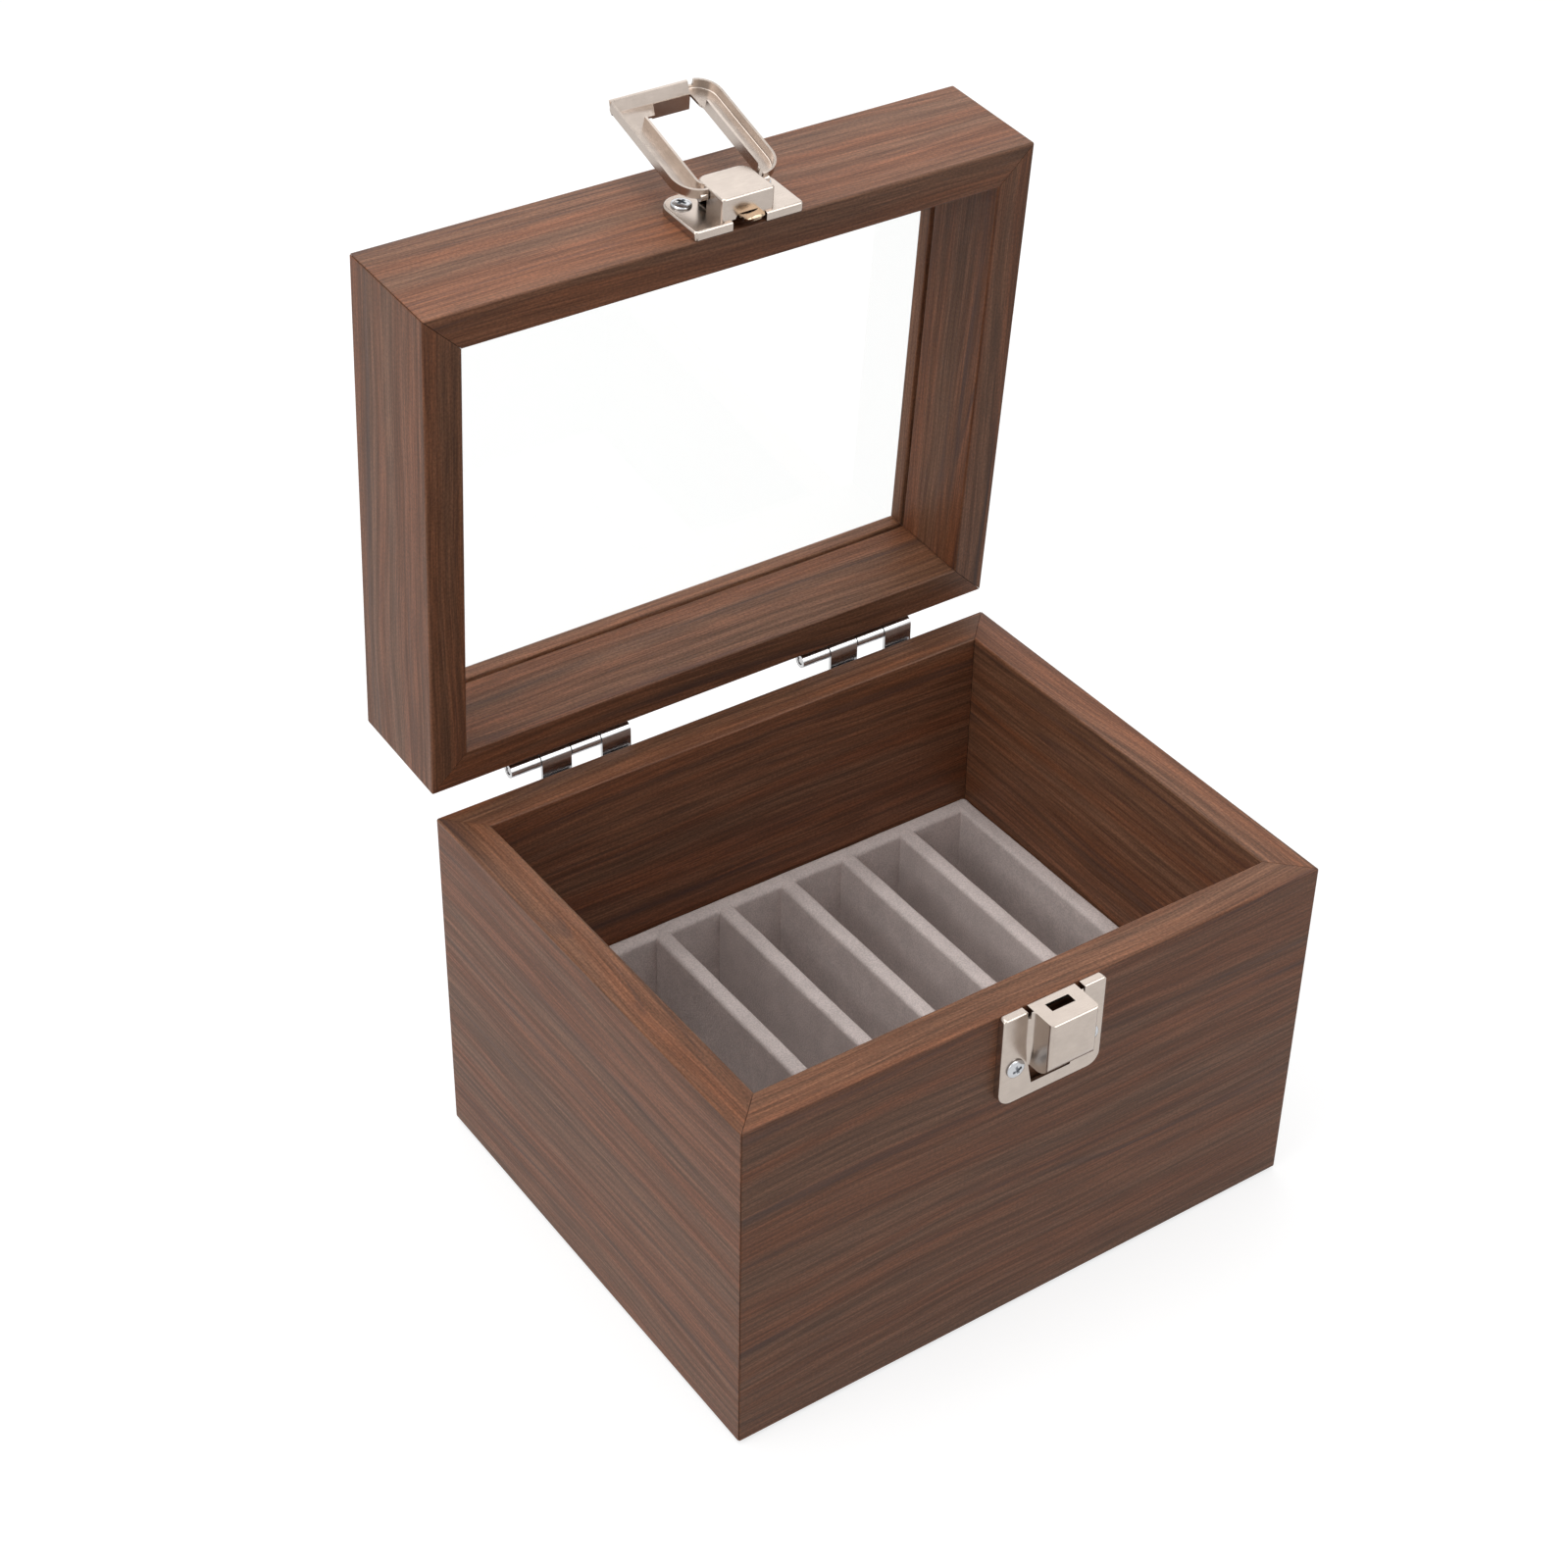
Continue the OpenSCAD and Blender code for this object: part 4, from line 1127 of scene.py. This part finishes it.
def bail_outline(inset, window):
    """Points round the bail, or round its window, set in from the one or out from the other."""
    if window:
        half, near, reach = EYE_HALF + inset, -EYE_NEAR + inset, EYE_REACH + inset
        radii = [EYE_CORNER + inset] * 4
    else:
        half, near, reach = BAIL_HALF - inset, BAIL_NEAR - inset, BAIL_REACH - inset
        radii = [r - inset for r in (NEAR_CORNER, FAR_RIGHT_CORNER, FAR_LEFT_CORNER, NEAR_CORNER)]
    points = []
    for corner, radius in enumerate(radii):
        x = half - radius if corner < 2 else radius - half
        z = near - radius if corner in (0, 3) else radius - reach
        start = 90 - 90 * corner
        points += arc(x, z, radius, start, start - 90, 8)
    return points


def bail_block(inset, window, low, high, bend=0.0):
    """A block of that outline between two depths, the edges of its low face rounded."""
    block = block_from([(x, low, z) for x, z in bail_outline(inset, window)], (0, high - low, 0))
    if bend:
        soften(block, front_rim(block, low), bend)
    return block


web_in = BAIL_FACE + BAIL_SHEET
rim_in = BAIL_SHEET - BAIL_REACH
bail = bail_block(0, False, BAIL_FACE, BAIL_DEEP, BAIL_BEND)
bail = cut_away(bail, bail_block(BAIL_SHEET, False, web_in, THROUGH, BAIL_CREASE))
flange = bail_block(BAIL_SHEET, True, BAIL_FACE + HAIR, BAIL_DEEP - HAIR)
bail = combine(bail, flange, "UNION")
rim_low = web_in + RIM_LEFT
eye_side = EYE_HALF + FLANGE_CLEAR
eye_end = EYE_REACH + FLANGE_CLEAR
bail = cut_away(
    bail,
    bail_block(0, True, -THROUGH, THROUGH),
    plain_block((-HUB_IN, -THROUGH, -EYE_NEAR - 1), (HUB_IN, THROUGH, BAIL_NEAR + 1)),
    plain_block((-eye_side, web_in, -eye_end), (eye_side, THROUGH, EYE_CORNER - EYE_REACH)),
    plain_block((1 - BAIL_HALF, rim_low, -BAIL_REACH - 1), (TAB_RIGHT, THROUGH, rim_in + HAIR)),
)
lip_side = [
    (web_in - LIP_ROOT, LIP_LEAN - BAIL_REACH), (LIP_DEEP, -BAIL_REACH),
    (LIP_DEEP, rim_in), (web_in - LIP_ROOT, LIP_LEAN + rim_in),
]
lip_start = LIP_SHY - BAIL_HALF
lip_end = TAB_RIGHT - TOUCH
lip = block_from([(lip_start, y, z) for y, z in lip_side], (lip_end - lip_start, 0, 0))
bail = combine(bail, lip, "UNION")
lip_notch = plain_block(
    (TAB_RIGHT, web_in + LIP_NOTCH_IN, -BAIL_REACH - 1),
    (TAB_RIGHT + LIP_NOTCH, THROUGH, rim_in + 2 * HAIR),
)
tab_cut = [
    (TAB_LEFT, rim_in + TAB_FOOT), (TAB_RIGHT, rim_in + TAB_FOOT),
    (TAB_RIGHT + 0.3, 1 - EYE_REACH), (TAB_LEFT - TAB_SPREAD, 1 - EYE_REACH),
]
tab_hole = block_from([(x, -THROUGH, z) for x, z in tab_cut], (0, 2 * THROUGH, 0))
bail = cut_away(bail, lip_notch, tab_hole)
tab_side = [
    (web_in, rim_in + TAB_FOOT - BAIL_SHEET), (web_in, rim_in + TAB_FOOT),
    (BAIL_FACE - TAB_DROP, rim_in + TAB_FOOT + TAB_LEAN),
    (BAIL_FACE - TAB_DROP, rim_in + TAB_FOOT + TAB_LEAN - BAIL_SHEET),
]
tab = block_from([(TAB_LEFT, y, z) for y, z in tab_side], (TAB_RIGHT - TAB_LEFT, 0, 0))
bail = combine(bail, tab, "UNION")
for side in (-1, 1):
    hub = round_bar(HUB_R, (side * HUB_IN, 0, 0), (side * (HUB_IN + HUB_LEN), 0, 0))
    trunnion = round_bar(TRUNNION_R, (side * (CASE_HALF - 1), 0, 0), (side * (HUB_IN + 1), 0, 0), 24)
    bail = combine(bail, combine(hub, trunnion, "UNION"), "UNION")
soften(bail, sharp_edges(bail, 50), BAIL_SOFT, 1)
flipped_back = Matrix.Rotation(math.radians(-BAIL_TURN), 4, "X")
on_trunnions = Matrix.Translation((0, -BAIL_AXIS_OUT, BAIL_UP)) @ flipped_back
bmesh.ops.transform(bail, matrix=TO_LID_CLASP @ on_trunnions, verts=bail.verts)
finish_piece(bail, "bail_ring", "bail", nickel, ["clasp_bail"], smooth=45)


# The floor and the light
# The box stands on a plain white sweep under large soft lamps, brightest from above and from the
# left. White shows behind the box, through the pane and in the metal. The glint lamp adds
# only highlights on metal and gloss.
WHITE = (1, 1, 1, 1)
FLOOR_SIZE = 6.0
FLOOR_GREY = (0.36, 0.36, 0.36, 1)
FLOOR_ROUGH = 0.9
FLOOR_GLOW = 0.75
WORLD_FILL = 0.30


def seen_rays(tree):
    """1 for what the eye, gloss and glass see, and 0 for what lights the box."""
    path = add_node(tree, "LightPath").outputs
    seen = maths(tree, "MAXIMUM", path["Is Camera Ray"], path["Is Glossy Ray"])
    return maths(tree, "MAXIMUM", seen, path["Is Transmission Ray"])


world = bpy.data.worlds.new("studio")
scene.world = world
world.use_nodes = True
world_tree = world.node_tree
seen = seen_rays(world_tree)
white_seen = add_node(world_tree, "MapRange", {"Value": seen, "To Min": WORLD_FILL}).outputs
background = {"Color": WHITE, "Strength": white_seen["Result"]}
set_inputs(world_tree, world_tree.nodes["Background"], background)

floor_mesh = bmesh.new()
bmesh.ops.create_grid(floor_mesh, x_segments=1, y_segments=1, size=FLOOR_SIZE / 2)
floor_data = bpy.data.meshes.new("floor")
floor_mesh.to_mesh(floor_data)
floor_mesh.free()
floor = bpy.data.objects.new("floor", floor_data)
scene.collection.objects.link(floor)
paper, paper_tree, paper_shader = new_material("white_paper")
set_inputs(paper_tree, paper_shader, {
    "Base Color": FLOOR_GREY,
    "Roughness": FLOOR_ROUGH,
    "Specular IOR Level": 0.0,
    "Emission Color": WHITE,
    "Emission Strength": maths(paper_tree, "MULTIPLY", seen_rays(paper_tree), FLOOR_GLOW),
})
floor_data.materials.append(paper)


def soft_lamp(name, place, aim_up, size, power):
    """A square area lamp that faces a spot above the middle of the floor."""
    lamp = bpy.data.lights.new(name, "AREA")
    lamp.shape = "SQUARE"
    lamp.size = size
    lamp.energy = power
    holder = bpy.data.objects.new(name, lamp)
    scene.collection.objects.link(holder)
    holder.location = place
    facing = Vector((0, 0, aim_up)) - Vector(place)
    holder.rotation_euler = facing.to_track_quat("-Z", "Y").to_euler()
    return holder


soft_lamp("overhead_lamp", place=(-0.1, 0.12, 1.25), aim_up=0.08, size=1.1, power=10.4)
soft_lamp("back_lamp", place=(0.6, 0.9, 0.75), aim_up=0.12, size=0.9, power=1.8)
soft_lamp("left_lamp", place=(-1.2, -0.1, 0.7), aim_up=0.12, size=0.9, power=5.5)
soft_lamp("front_lamp", place=(0.35, -1.3, 0.7), aim_up=0.08, size=0.9, power=1.4)
glint_lamp = soft_lamp("glint_lamp", place=(0.75, -0.95, 1.05), aim_up=0.08, size=1.1, power=9.0)
glint_lamp.visible_diffuse = False


# The camera
# It stands where the photograph was taken from, worked out from the box's corners.
CAMERA_PLACE = (-0.29456, -0.38739, 0.46189)
CAMERA_AZIMUTH = -35.36
CAMERA_ELEVATION = 36.50
CAMERA_ROLL = 1.235
CAMERA_LENS = 69.83
CAMERA_SENSOR = 36.0
CAMERA_SHIFT_X = -0.00848
CAMERA_SHIFT_Y = -0.01075
camera_data = bpy.data.cameras.new("camera")
camera = bpy.data.objects.new("camera", camera_data)
scene.collection.objects.link(camera)
camera_data.lens = CAMERA_LENS
camera_data.sensor_width = CAMERA_SENSOR
camera_data.shift_x = CAMERA_SHIFT_X
camera_data.shift_y = CAMERA_SHIFT_Y
camera_turn = Matrix.Rotation(math.radians(CAMERA_AZIMUTH), 4, "Z")
camera_tilt = Matrix.Rotation(math.radians(90 - CAMERA_ELEVATION), 4, "X")
camera_roll = Matrix.Rotation(math.radians(CAMERA_ROLL), 4, "Z")
camera.matrix_world = Matrix.Translation(CAMERA_PLACE) @ camera_turn @ camera_tilt @ camera_roll
scene.camera = camera
scene.view_settings.view_transform = "Standard"
